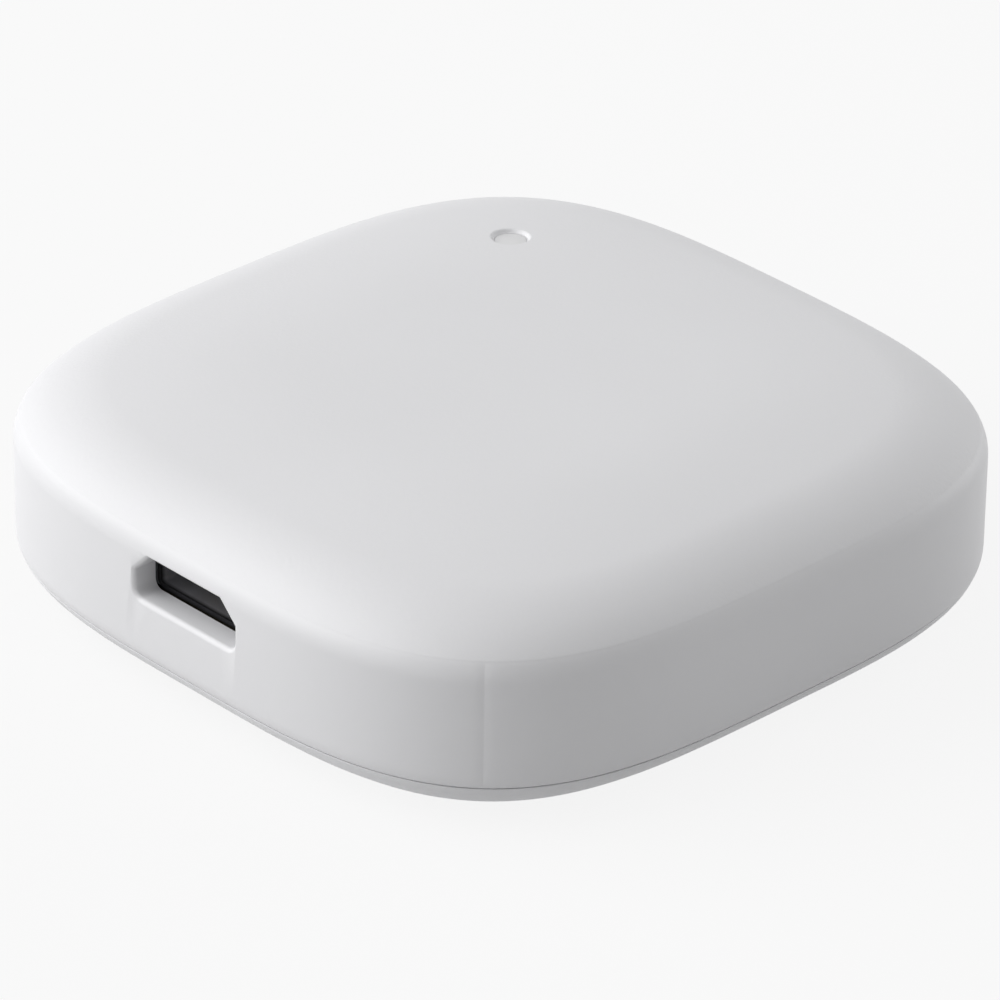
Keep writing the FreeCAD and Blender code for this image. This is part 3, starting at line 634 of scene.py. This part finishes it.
def islands(node):
    """The lowest and the highest corner of each of a node's separate solids."""
    bm = bmesh.new()
    bm.from_mesh(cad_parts[node].data)
    bmesh.ops.remove_doubles(bm, verts=bm.verts, dist=1e-7)
    boxes, known = [], set()
    for first in bm.verts:
        if first in known:
            continue
        known.add(first)
        reached = [first]
        for vert in reached:
            fresh = [edge.other_vert(vert) for edge in vert.link_edges]
            fresh = [other for other in fresh if other not in known]
            known.update(fresh)
            reached += fresh
        boxes.append([Vector([choose(vert.co[axis] for vert in reached) for axis in range(3)])
                      for choose in (min, max)])
    bm.free()
    return boxes


def chip_capacitors():
    """Small ceramic blocks whose tinned ends stand a little proud of their middles."""
    bm = bmesh.new()
    end, sunk = 0.28, 0.02 * MM  # where an end starts, as a share of the length from the middle
    for low, high in islands("capacitors"):
        size, middle = high - low, (low + high) / 2
        along = 0 if size.x > size.y else 1
        axis = Vector((0, 0, 0))
        axis[along] = 1
        verts = block(bm, middle, size)
        for share in (-end, end):
            geom = once((vert, *vert.link_edges, *vert.link_faces) for vert in verts)
            cut = bmesh.ops.bisect_plane(bm, geom=geom, dist=1e-8, plane_no=axis,
                                         plane_co=middle + axis * share * size[along])
            verts += only(BMVert, cut["geom_cut"])
        waist = []
        for face in once(vert.link_faces for vert in verts):
            if abs((face.calc_center_median() - middle)[along]) > end * size[along]:
                face.material_index = 1
            else:
                waist.append(face)
        bmesh.ops.inset_region(bm, faces=waist, thickness=sunk, depth=-sunk, use_even_offset=True)
    return new_piece("chip_capacitors", bm)


def cross_screws():
    """Three pan-head screws with rolled threads, driven from below by a cross recess."""
    low, high = (corner.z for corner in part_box("board_screws"))
    face, rim, edge, head = 0.95 * MM, 1.15 * MM, 0.14 * MM, 0.5 * MM
    core, thread, pitch, point = 0.56 * MM, 0.7 * MM, 0.3 * MM, 0.3 * MM
    slot_long, slot_wide, slot_deep = 1.1 * MM, 0.26 * MM, 0.3 * MM
    profile = [(0, low), (face, low), (rim, low + edge), (rim, low + head), (core, low + head)]
    z = low + head + pitch / 2
    while z + pitch < high - pitch:
        profile += [(core, z), (thread, z + 0.4 * pitch), (thread, z + 0.55 * pitch)]
        z += pitch
    profile += [(core, z), (point, high), (0, high)]
    bm = bmesh.new()
    for at in BOSS_PLACES:
        turned(bm, profile, at, SCREW_STEPS)
    screws = new_piece("cross_screws", bm)
    combine(screws, [upright_block("slot", *at, *size, low - 0.5 * MM, low + slot_deep)
                     for at in BOSS_PLACES
                     for size in ((slot_long, slot_wide), (slot_wide, slot_long))], "DIFFERENCE")
    return screws


# Materials

def add(mat, kind, *inputs, **named):
    """Add a node; a second word in its kind is its operation or data type.

    Inputs come in order or by name, with a capital; other names are settings. A node or a
    socket is linked, and a value is set.
    """
    kind, _, mode = kind.partition(" ")
    node = mat.node_tree.nodes.new("ShaderNode" + kind)
    if mode:
        setattr(node, "data_type" if kind == "Mix" else "operation", mode)
    given = list(zip((socket for socket in node.inputs if socket.enabled), inputs))
    for name, value in named.items():
        if name[0].isupper():
            given.append((node.inputs[name.replace("_", " ")], value))
        else:
            setattr(node, name, value)
    for socket, value in given:
        if isinstance(value, bpy.types.Node):
            value = next(output for output in value.outputs if output.enabled)
        if isinstance(value, bpy.types.NodeSocket):
            mat.node_tree.links.new(value, socket)
        else:
            socket.default_value = (*value, 1) if socket.type == "RGBA" else value
    return node


def emptied(block):
    """A new material or world, with nodes but none in it yet."""
    block.use_nodes = True
    block.node_tree.nodes.clear()
    return block


def started(name):
    """A new material, and the place on the object for its patterns."""
    mat = emptied(bpy.data.materials.new(name))
    return mat, add(mat, "TexCoord").outputs["Object"]


def surface(mat, **inputs):
    """Give a material its shader and its output."""
    add(mat, "OutputMaterial", add(mat, "BsdfPrincipled", **inputs))
    return mat


def wave_scale(pitch):
    """The scale at which a wave texture's bands are a distance apart."""
    return tau / 20 / pitch


def moulded_polycarbonate():
    """Injection-moulded polycarbonate blend.

    The crown's tool is spark-eroded, which leaves a fine even grain; the walls' slides are
    smoother.
    """
    name, scene = "moulded_polycarbonate", bpy.context.scene
    if name in bpy.data.materials:
        return bpy.data.materials[name]
    base, crease = Vector(scene.tracker_finishes.housing), crease_height(scene.tracker_housing)
    mat, where = started(name)
    height = add(mat, "SeparateXYZ", where).outputs["Z"]
    crown = add(mat, "MapRange", height, crease - 0.1 * MM, crease + 0.1 * MM,
                interpolation_type="SMOOTHSTEP")
    pits = add(mat, "TexNoise", where, 1 / (0.22 * MM), Detail=3.0, Roughness=0.6)
    grain = add(mat, "Math MULTIPLY", pits, add(mat, "MapRange", crown, 0, 1, 0.25, 1))
    bump = add(mat, "Bump", Height=grain, Distance=0.012 * MM)
    clouds = add(mat, "TexNoise", where, 1 / (9 * MM), Detail=2.0)
    tone = add(mat, "Mix RGBA", clouds, base * 0.985, base * 1.015)
    rough = add(mat, "MapRange", crown, 0, 1, 0.46, 0.56)
    return surface(mat, Base_Color=tone, Roughness=rough, IOR=1.585, Normal=bump)


def milky_polycarbonate():
    """Polycarbonate with a little white pigment, polished, so that light shows through it."""
    mat, where = started("milky_polycarbonate")
    base = Vector(bpy.context.scene.tracker_finishes.cap)
    haze = add(mat, "TexNoise", where, 1 / (0.4 * MM), Detail=2.0)
    tone = add(mat, "Mix RGBA", haze, base * 0.97, base)
    bump = add(mat, "Bump", Height=haze, Distance=0.003 * MM)
    return surface(mat, Base_Color=tone, Roughness=0.4, IOR=1.585, Subsurface_Weight=0.15,
                   Subsurface_Radius=(0.4, 0.4, 0.38), Subsurface_Scale=1 * MM, Normal=bump)


# Finishes whose tone drifts over one distance and whose skin is rough over a finer one: colour,
# spread of the tone, the two distances and the skin's depth in millimetres, roughness, a
# stretch below 1 along the axis in which rolling or flow draws both out, and the rest
EVEN, METAL = (1, 1, 1), {"Metallic": 1.0}
MOTTLED = {
    # Compression-moulded silicone: matt and a little waxy, with faint clouds in the pigment
    "silicone_rubber": ("seal", 0.07, 1.5, 0.12, 0.006, 0.62, EVEN,
                        {"IOR": 1.41, "Sheen_Weight": 0.15}),
    # Black nylon with glass fibre: matt, with faint streaks where the fibres flowed
    "glass_filled_nylon": ("moulding", 0.25, 0.9, 0.08, 0.008, 0.55, (0.3, 1, 1), {"IOR": 1.53}),
    # Glass-filled polyester of the port's block: dark grey, matt, streaked along the tongue
    "grey_polyester": ("#6E6F74", 0.12, 0.6, 0.06, 0.005, 0.6, (1, 0.3, 1), {"IOR": 1.56}),
    # Nickel-plated steel sheet: bright, with the rolling's fine lines and soft dull patches
    "nickel_plate": ("plate", 0.05, 2.2, 0.05, 0.002, 0.3, (0.15, 1, 1), METAL),
    # Nickel on the port's folded sleeve, dulled by plugging
    "dull_nickel": ("#A6A6AA", 0.1, 0.8, 0.05, 0.004, 0.62, (1, 0.15, 1), METAL),
    # Gold flash over rolled bronze: warm, satin, a little redder where the flash is thin
    "gold_flash": ("gold", 0.06, 1.1, 0.05, 0.0015, 0.28, (0.4, 0.4, 1), METAL),
    # Transfer-moulded epoxy full of silica: near-black, dry and finely pitted
    "moulding_compound": ("#222326", 0.12, 0.5, 0.06, 0.006, 0.68, EVEN, {"IOR": 1.55}),
    # Pressed and fired ferrite: dark grey, granular, with a slight metallic glint
    "pressed_ferrite": ("#4B4A4C", 0.18, 0.25, 0.07, 0.012, 0.5, EVEN,
                        {"IOR": 1.9, "Metallic": 0.15}),
    # Pressed and fired ceramic, unglazed: sandy brown, chalky and finely speckled
    "fired_ceramic": ("ceramic", 0.14, 0.3, 0.06, 0.005, 0.7, EVEN, {"IOR": 1.8}),
    # Nickel silver lid and tabs: pale, half-bright, with straight rolling lines
    "nickel_silver": ("#CFCDC6", 0.04, 0.8, 0.04, 0.0015, 0.33, (1, 0.12, 1), METAL),
    # Extruded silicone insulation: soft sheen, with drawn-out marks along the wire
    "red_silicone_wire": ("#B4231C", 0.08, 0.6, 0.1, 0.004, 0.42, (0.2, 1, 1), {"IOR": 1.42}),
    "black_silicone_wire": ("#232325", 0.12, 0.6, 0.1, 0.004, 0.42, (0.2, 1, 1), {"IOR": 1.42}),
    # Unpigmented nylon 66: creamy, slightly see-through, satin from the mould
    "natural_nylon": ("#E7E1D0", 0.03, 0.9, 0.09, 0.004, 0.45, EVEN,
                      {"IOR": 1.53, "Subsurface_Weight": 0.2, "Subsurface_Scale": 0.5 * MM,
                       "Subsurface_Radius": (1.0, 0.9, 0.7)}),
}


def mottled(name):
    """One of the finishes above."""
    if name in bpy.data.materials:
        return bpy.data.materials[name]
    tint, spread, cloud, grain, depth, rough, stretch, rest = MOTTLED[name]
    finishes = bpy.context.scene.tracker_finishes
    base = Vector(linear(tint) if tint.startswith("#") else getattr(finishes, tint))
    mat, where = started(name)
    along = add(mat, "Mapping", where, Scale=stretch)
    clouds = add(mat, "TexNoise", along, 1 / (cloud * MM), Detail=3.0)
    tone = add(mat, "Mix RGBA", clouds, base * (1 - spread), base * (1 + spread))
    skin = add(mat, "TexNoise", along, 1 / (grain * MM), Detail=2.0)
    bump = add(mat, "Bump", Height=skin, Distance=depth * MM)
    worn = add(mat, "MapRange", clouds, 0, 1, rough * 0.85, rough * 1.15)
    return surface(mat, Base_Color=tone, Roughness=worn, Normal=bump, **rest)


def dull_nickel():
    """The port sleeve's nickel, with painted shade: dark grey at the sleeve's front edge, fading to
    the nickel 0.3 mm further in.
    """
    mat = mottled("dull_nickel")
    base = mat.node_tree.nodes["Principled BSDF"].inputs["Base Color"]
    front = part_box("charging_port_shell")[0].y
    along = add(mat, "SeparateXYZ", add(mat, "TexCoord").outputs["Object"]).outputs["Y"]
    # painted shade: dark grey at the sleeve's front edge inside the port, fading to the nickel
    # behind it
    behind = add(mat, "MapRange", along, front + 0.05 * MM, front + 0.3 * MM)
    tone = add(mat, "Mix RGBA", behind, linear("#303032"), base.links[0].from_socket)
    mat.node_tree.links.new(tone.outputs[2], base)
    return mat


def foam_tape():
    """Black acrylic foam tape: matt, full of closed cells about 0.12 mm across."""
    mat, where = started("foam_tape")
    cells = add(mat, "TexVoronoi", where, 1 / (0.12 * MM))
    tone = add(mat, "Mix RGBA", cells, linear("#1B1B1D"), linear("#3A3A3D"))
    bump = add(mat, "Bump", Height=cells, Distance=0.03 * MM)
    return surface(mat, Base_Color=tone, Roughness=0.85, IOR=1.47, Normal=bump)


def printed_silver():
    """Silver paste printed through a woven screen: the 0.15 mm weave shows as a soft waffle."""
    mat, where = started("printed_silver")
    waffle = 0.0
    for axis in "XY":
        weave = add(mat, "TexWave", where, wave_scale(0.15 * MM), Distortion=0.6,
                    bands_direction=axis)
        waffle = add(mat, "Math ADD", weave.outputs["Fac"], waffle)
    clouds = add(mat, "TexNoise", where, 1 / (1.2 * MM), Detail=4.0)
    tone = add(mat, "Mix RGBA", clouds, linear("#B9B7B2"), linear("#DEDCD8"))
    rough = add(mat, "MapRange", clouds, 0, 1, 0.42, 0.58)
    bump = add(mat, "Bump", Height=waffle, Distance=0.004 * MM)
    return surface(mat, Base_Color=tone, Roughness=rough, Metallic=1.0, Normal=bump)


def laminated_foil():
    """Nylon on aluminium foil: a bright satin pouch, embossed, with soft creases at its edges."""
    mat, where = started("laminated_foil")
    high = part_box("battery_cell")[1]
    away = add(mat, "SeparateXYZ", add(mat, "VectorMath ABSOLUTE", where))
    rims = [add(mat, "MapRange", away.outputs[axis], edge - 2.5 * MM, edge,
                interpolation_type="SMOOTHSTEP") for axis, edge in (("X", high.x), ("Y", high.y))]
    folds = add(mat, "TexNoise", where, 1 / (1.6 * MM), Detail=2.0, Distortion=1.2)
    creases = add(mat, "Math MULTIPLY", folds, add(mat, "Math MAXIMUM", *rims))
    emboss = add(mat, "TexVoronoi", where, 1 / (0.25 * MM))
    fine = add(mat, "Bump", Height=emboss, Distance=0.006 * MM)
    bump = add(mat, "Bump", Height=creases, Distance=0.25 * MM, Normal=fine)
    base = Vector(bpy.context.scene.tracker_finishes.foil)
    tone = add(mat, "Mix RGBA", folds, base * 0.92, base * 1.04)
    return surface(mat, Base_Color=tone, Roughness=0.36, Metallic=0.9, Normal=bump)


def solder_masked_laminate():
    """Solder mask over copper on glass laminate.

    The mask is paler and stands up where a track runs under it; small tinned holes join the
    layers, and the routed edges show the dark brown laminate.
    """
    mat, where = started("solder_masked_laminate")
    base = Vector(bpy.context.scene.tracker_finishes.board)
    flat = add(mat, "Mapping", where, Scale=(1, 1, 0))
    blocks = add(mat, "TexVoronoi", flat, 1 / (3.4 * MM), Randomness=0.8, distance="CHEBYCHEV")
    pick = add(mat, "SeparateXYZ", blocks.outputs["Color"])
    turn = add(mat, "Math GREATER_THAN", pick, 0.5)
    runs = [add(mat, "TexWave", flat, wave_scale(0.42 * MM), Detail=0.0, bands_direction=axis)
            for axis in "XY"]
    run = add(mat, "Mix FLOAT", turn, *(run.outputs["Fac"] for run in runs))
    copper = add(mat, "MapRange", run, 0.6, 0.7)
    holes = add(mat, "TexVoronoi", flat, 1 / (1.4 * MM), Randomness=0.9)
    ring = add(mat, "MapRange", holes, 0.16, 0.13)
    mask = add(mat, "Mix RGBA", copper, base * 0.75, base * 1.5)
    tinned = add(mat, "Mix RGBA", ring, mask, linear("#C9C2AE"))
    level = add(mat, "SeparateXYZ", where.node.outputs["Normal"]).outputs["Z"]
    face = add(mat, "Math GREATER_THAN", add(mat, "Math ABSOLUTE", level), 0.5)
    fibres = add(mat, "TexNoise", where, 1 / (0.3 * MM), Detail=2.0)
    core = add(mat, "Mix RGBA", fibres, linear("#1E1C14"), linear("#3A3626"))
    tone = add(mat, "Mix RGBA", face, core, tinned)
    shine = add(mat, "Math MULTIPLY", ring, face)
    rough = add(mat, "MapRange", face, 0, 1, 0.8, 0.3)
    bump = add(mat, "Bump", Height=copper, Distance=0.02 * MM)
    return surface(mat, Base_Color=tone, Roughness=rough, Metallic=shine, IOR=1.5, Normal=bump)


def cast_epoxy_lens():
    """Clear epoxy over yellow phosphor in a white cup: only the lens's middle is yellow."""
    mat, where = started("cast_epoxy_lens")
    low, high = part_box("status_led")
    middle = (low + high) / 2
    away = add(mat, "VectorMath DISTANCE", where, (middle.x, middle.y, high.z))
    cup = add(mat, "MapRange", away, 0.24 * MM, 0.3 * MM)
    tone = add(mat, "Mix RGBA", cup, linear("#E6CF5E"), linear("#EDEBE3"))
    rough = add(mat, "MapRange", cup, 0, 1, 0.12, 0.5)
    return surface(mat, Base_Color=tone, Roughness=rough, IOR=1.51, Coat_Weight=0.4)


def finish(mat, *names):
    """Give nodes of the frame a material in place of their plain one."""
    for name in names:
        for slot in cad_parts[name].material_slots:
            slot.material = mat


# Operators

class TRACKER_OT_upper_shell(Operator):
    """Mould the domed upper shell with its lip, bosses, guide, port opening and button recess"""

    bl_idname = "tracker.upper_shell"
    bl_label = "Upper shell"

    def execute(self, context):
        scene = context.scene
        sizes, port, button = scene.tracker_housing, scene.tracker_port, scene.tracker_button
        shell = upper_blank(sizes)
        low, screw_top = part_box("main_board")[1].z + BOSS_LIFT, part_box("board_screws")[1].z
        added, pilots = [], []
        for at in BOSS_PLACES:
            top = crown_point(sizes, *at)[0] - ROOT
            added.append(cylinder("boss", BOSS_RADIUS, low, top, at, 40))
            pilots.append(cylinder("pilot", PILOT_RADIUS, low - MM, screw_top + 0.2 * MM, at, 32))
        height = crown_point(sizes, button.x, button.y)[0]
        added.append(cylinder("guide", button.guide, height - sizes.roof - button.guide_length,
                              height - ROOT, (button.x, button.y)))
        combine(shell, added, "UNION")
        cutters = [port_cutter(sizes, port)] + button_cutters(sizes, button) + pilots
        combine(shell, cutters, "DIFFERENCE")
        dress(shell, moulded_polycarbonate(), "housing", "top_shell")
        return {"FINISHED"}


class TRACKER_OT_lower_cover(Operator):
    """Mould the shallow cover with its spigot, its seal and the ribs that hold the cell"""

    bl_idname = "tracker.lower_cover"
    bl_label = "Lower cover"

    def execute(self, context):
        cover = lower_blank(context.scene.tracker_housing)
        combine(cover, [upright_block("rib", *rib, *RIB_SPAN) for rib in RIBS], "UNION")
        dress(cover, moulded_polycarbonate(), "housing", "bottom_cover")
        finish(mottled("silicone_rubber"), "perimeter_seal")
        return {"FINISHED"}


class TRACKER_OT_button(Operator):
    """Turn the button's milky cap and finish its ring"""

    bl_idname = "tracker.button"
    bl_label = "Button"

    def execute(self, context):
        cap = button_cap(context.scene.tracker_housing, context.scene.tracker_button)
        dress(cap, milky_polycarbonate(), "button", "button_cap")
        finish(mottled("silicone_rubber"), "button_seal_ring")
        return {"FINISHED"}


class TRACKER_OT_port(Operator):
    """Finish the charging port: folded sleeve, block with its tongue, contacts and collar"""

    bl_idname = "tracker.port"
    bl_label = "Charging port"

    def execute(self, context):
        finish(dull_nickel(), "charging_port_shell")
        finish(mottled("grey_polyester"), "charging_port_insulator")
        finish(mottled("gold_flash"), "charging_port_contacts")
        finish(mottled("silicone_rubber"), "port_seal")
        return {"FINISHED"}


class TRACKER_OT_switch(Operator):
    """Finish the tactile switch and turn its domed spring leaf"""

    bl_idname = "tracker.switch"
    bl_label = "Switch"

    def execute(self, context):
        plate = mottled("nickel_plate")
        dome = dress(snap_dome(), plate, "housing", "switch_snap_dome")
        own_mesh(dome)
        finish(plate, "switch_cover")
        finish(mottled("glass_filled_nylon"), "switch_base", "switch_plunger")
        return {"FINISHED"}


class TRACKER_OT_board(Operator):
    """Finish the boards and what is soldered to them"""

    bl_idname = "tracker.board"
    bl_label = "Boards and chips"

    def execute(self, context):
        compound, plate = mottled("moulding_compound"), mottled("nickel_plate")
        ceramic, ends = mottled("fired_ceramic"), mottled("nickel_silver")
        for node in ("modem_chip", "memory_chip", "satellite_receiver_chip", "wifi_chip",
                     "sim_chip", "power_chip", "motion_sensor"):
            dress(moulded_chip(node), compound, "housing", node)
        dress(cross_screws(), plate, "housing", "board_screws")
        chips = dress(chip_capacitors(), ceramic, "housing", "capacitors")
        chips.data.materials.append(ends)
        finish(solder_masked_laminate(), "main_board", "guard_board")
        finish(mottled("glass_filled_nylon"), "battery_socket")
        finish(mottled("pressed_ferrite"), "power_inductor")
        finish(ends, "clock_crystal")
        finish(plate, "modem_shield", "radio_shield")
        finish(cast_epoxy_lens(), "status_led")
        return {"FINISHED"}


class TRACKER_OT_aerials(Operator):
    """Finish the frame with its aerials and the ceramic patch"""

    bl_idname = "tracker.aerials"
    bl_label = "Aerials"

    def execute(self, context):
        finish(mottled("glass_filled_nylon"), "aerial_frame")
        finish(mottled("gold_flash"), "aerial_springs", "cellular_aerial", "wifi_aerial",
               "patch_pin")
        finish(mottled("fired_ceramic"), "satellite_patch")
        finish(printed_silver(), "patch_electrode")
        return {"FINISHED"}


class TRACKER_OT_battery(Operator):
    """Finish the cell with its tabs, leads and plug, and the foam tapes"""

    bl_idname = "tracker.battery"
    bl_label = "Battery"

    def execute(self, context):
        finish(laminated_foil(), "battery_cell")
        finish(foam_tape(), "cell_adhesive", "patch_adhesive")
        finish(mottled("nickel_silver"), "cell_tabs")
        finish(mottled("red_silicone_wire"), "battery_lead_positive")
        finish(mottled("black_silicone_wire"), "battery_lead_negative")
        finish(mottled("natural_nylon"), "battery_plug")
        return {"FINISHED"}


class TRACKER_OT_stage(Operator):
    """Set the floor, the soft lights, the surroundings and the camera"""

    bl_idname = "tracker.stage"
    bl_label = "Stage"

    def execute(self, context):
        scene, stage = context.scene, context.scene.tracker_stage
        self.floor()
        self.surroundings(scene, stage)
        self.soft_light("soft_box", stage.key, 0.5, Vector((-0.613, -0.572, 0.545)))
        self.soft_light("fill_box", stage.fill, 0.35, Vector((0.24, 0.95, 0.2)))
        self.camera(scene, stage)
        scene.view_settings.view_transform = "Standard"
        return {"FINISHED"}

    def seen(self, mat):
        """1 for rays from the camera and those that metal or glass sends on, otherwise 0."""
        path = add(mat, "LightPath")
        seen = path.outputs["Is Camera Ray"]
        for other in ("Is Glossy Ray", "Is Transmission Ray"):
            seen = add(mat, "Math MAXIMUM", seen, path.outputs[other])
        return seen

    def floor(self):
        """White paper just under the object: it shows as white and keeps a faint shadow."""
        bm = bmesh.new()
        under = Matrix.Translation((0, 0, -0.01 * MM))
        bmesh.ops.create_circle(bm, cap_ends=True, radius=1.5, segments=64, matrix=under)
        floor = new_piece("floor", bm)
        mat = emptied(bpy.data.materials.new("white_paper"))
        share = add(mat, "Math MULTIPLY", self.seen(mat), 0.88)
        paper = add(mat, "BsdfDiffuse", linear("#CDCDCD"))
        white = add(mat, "Emission", (1, 1, 1), 1.0)
        add(mat, "OutputMaterial", add(mat, "MixShader", share, paper, white))
        floor.data.materials.append(mat)

    def surroundings(self, scene, stage):
        """Even white light from all round, behind which a paper white shows."""
        world = emptied(bpy.data.worlds.new("studio"))
        even = add(world, "Background", (1, 1, 1), stage.ambient)
        white = add(world, "Background", linear("#F9F9F9"), 1.0)
        add(world, "OutputWorld", add(world, "MixShader", self.seen(world), even, white))
        scene.world = world

    def soft_light(self, name, power, size, towards):
        """A soft box half a metre away, in a direction from the object."""
        lamp = bpy.data.lights.new(name, "AREA")
        lamp.shape = "SQUARE"
        lamp.size = size
        lamp.energy = power
        box = in_scene(name, lamp)
        box.location = towards.normalized() * 0.5
        box.rotation_euler = towards.to_track_quat("Z", "Y").to_euler()

    def camera(self, scene, stage):
        """A long lens above the corner between the port's wall and the next."""
        data = bpy.data.cameras.new("camera")
        data.sensor_width = 36.0
        data.lens = stage.lens
        data.clip_start, data.clip_end = 0.01, 10.0
        camera = in_scene("camera", data)
        a, e = stage.azimuth, stage.elevation
        back = Vector((sin(a) * cos(e), -cos(a) * cos(e), sin(e)))
        level = Vector((cos(a), sin(a), 0))
        upright = back.cross(level)
        c, s = cos(stage.roll), sin(stage.roll)
        right, up = level * c + upright * s, upright * c - level * s
        middle = Vector((0, 0, scene.tracker_housing.height / 2))
        camera.location = middle + back * stage.distance - right * stage.across - up * stage.above
        camera.rotation_euler = Matrix((right, up, back)).transposed().to_euler()
        scene.camera = camera


class TRACKER_PT_panel(Panel):
    bl_idname = "TRACKER_PT_panel"
    bl_label = "Pocket location tracker"
    bl_space_type = "VIEW_3D"
    bl_region_type = "UI"
    bl_category = "Tracker"

    def draw(self, context):
        for operator in OPERATORS:
            self.layout.operator(operator.bl_idname)
        for name, group in GROUPS.items():
            box = self.layout.box()
            for item in group.__annotations__:
                box.prop(getattr(context.scene, name), item)


GROUPS = {"tracker_housing": HousingSizes, "tracker_port": PortSizes,
          "tracker_button": ButtonSizes, "tracker_finishes": FinishColours,
          "tracker_stage": StageSettings}
OPERATORS = (TRACKER_OT_upper_shell, TRACKER_OT_lower_cover, TRACKER_OT_button, TRACKER_OT_port,
             TRACKER_OT_switch, TRACKER_OT_board, TRACKER_OT_aerials, TRACKER_OT_battery,
             TRACKER_OT_stage)


def register():
    for cls in (*GROUPS.values(), *OPERATORS, TRACKER_PT_panel):
        bpy.utils.register_class(cls)
    for name, group in GROUPS.items():
        setattr(bpy.types.Scene, name, PointerProperty(type=group))


def unregister():
    for name in GROUPS:
        delattr(bpy.types.Scene, name)
    for cls in reversed((*GROUPS.values(), *OPERATORS, TRACKER_PT_panel)):
        bpy.utils.unregister_class(cls)


def main():
    register()
    for operator in OPERATORS:
        group, name = operator.bl_idname.split(".")
        getattr(getattr(bpy.ops, group), name)()


if __name__ == "__main__":
    main()
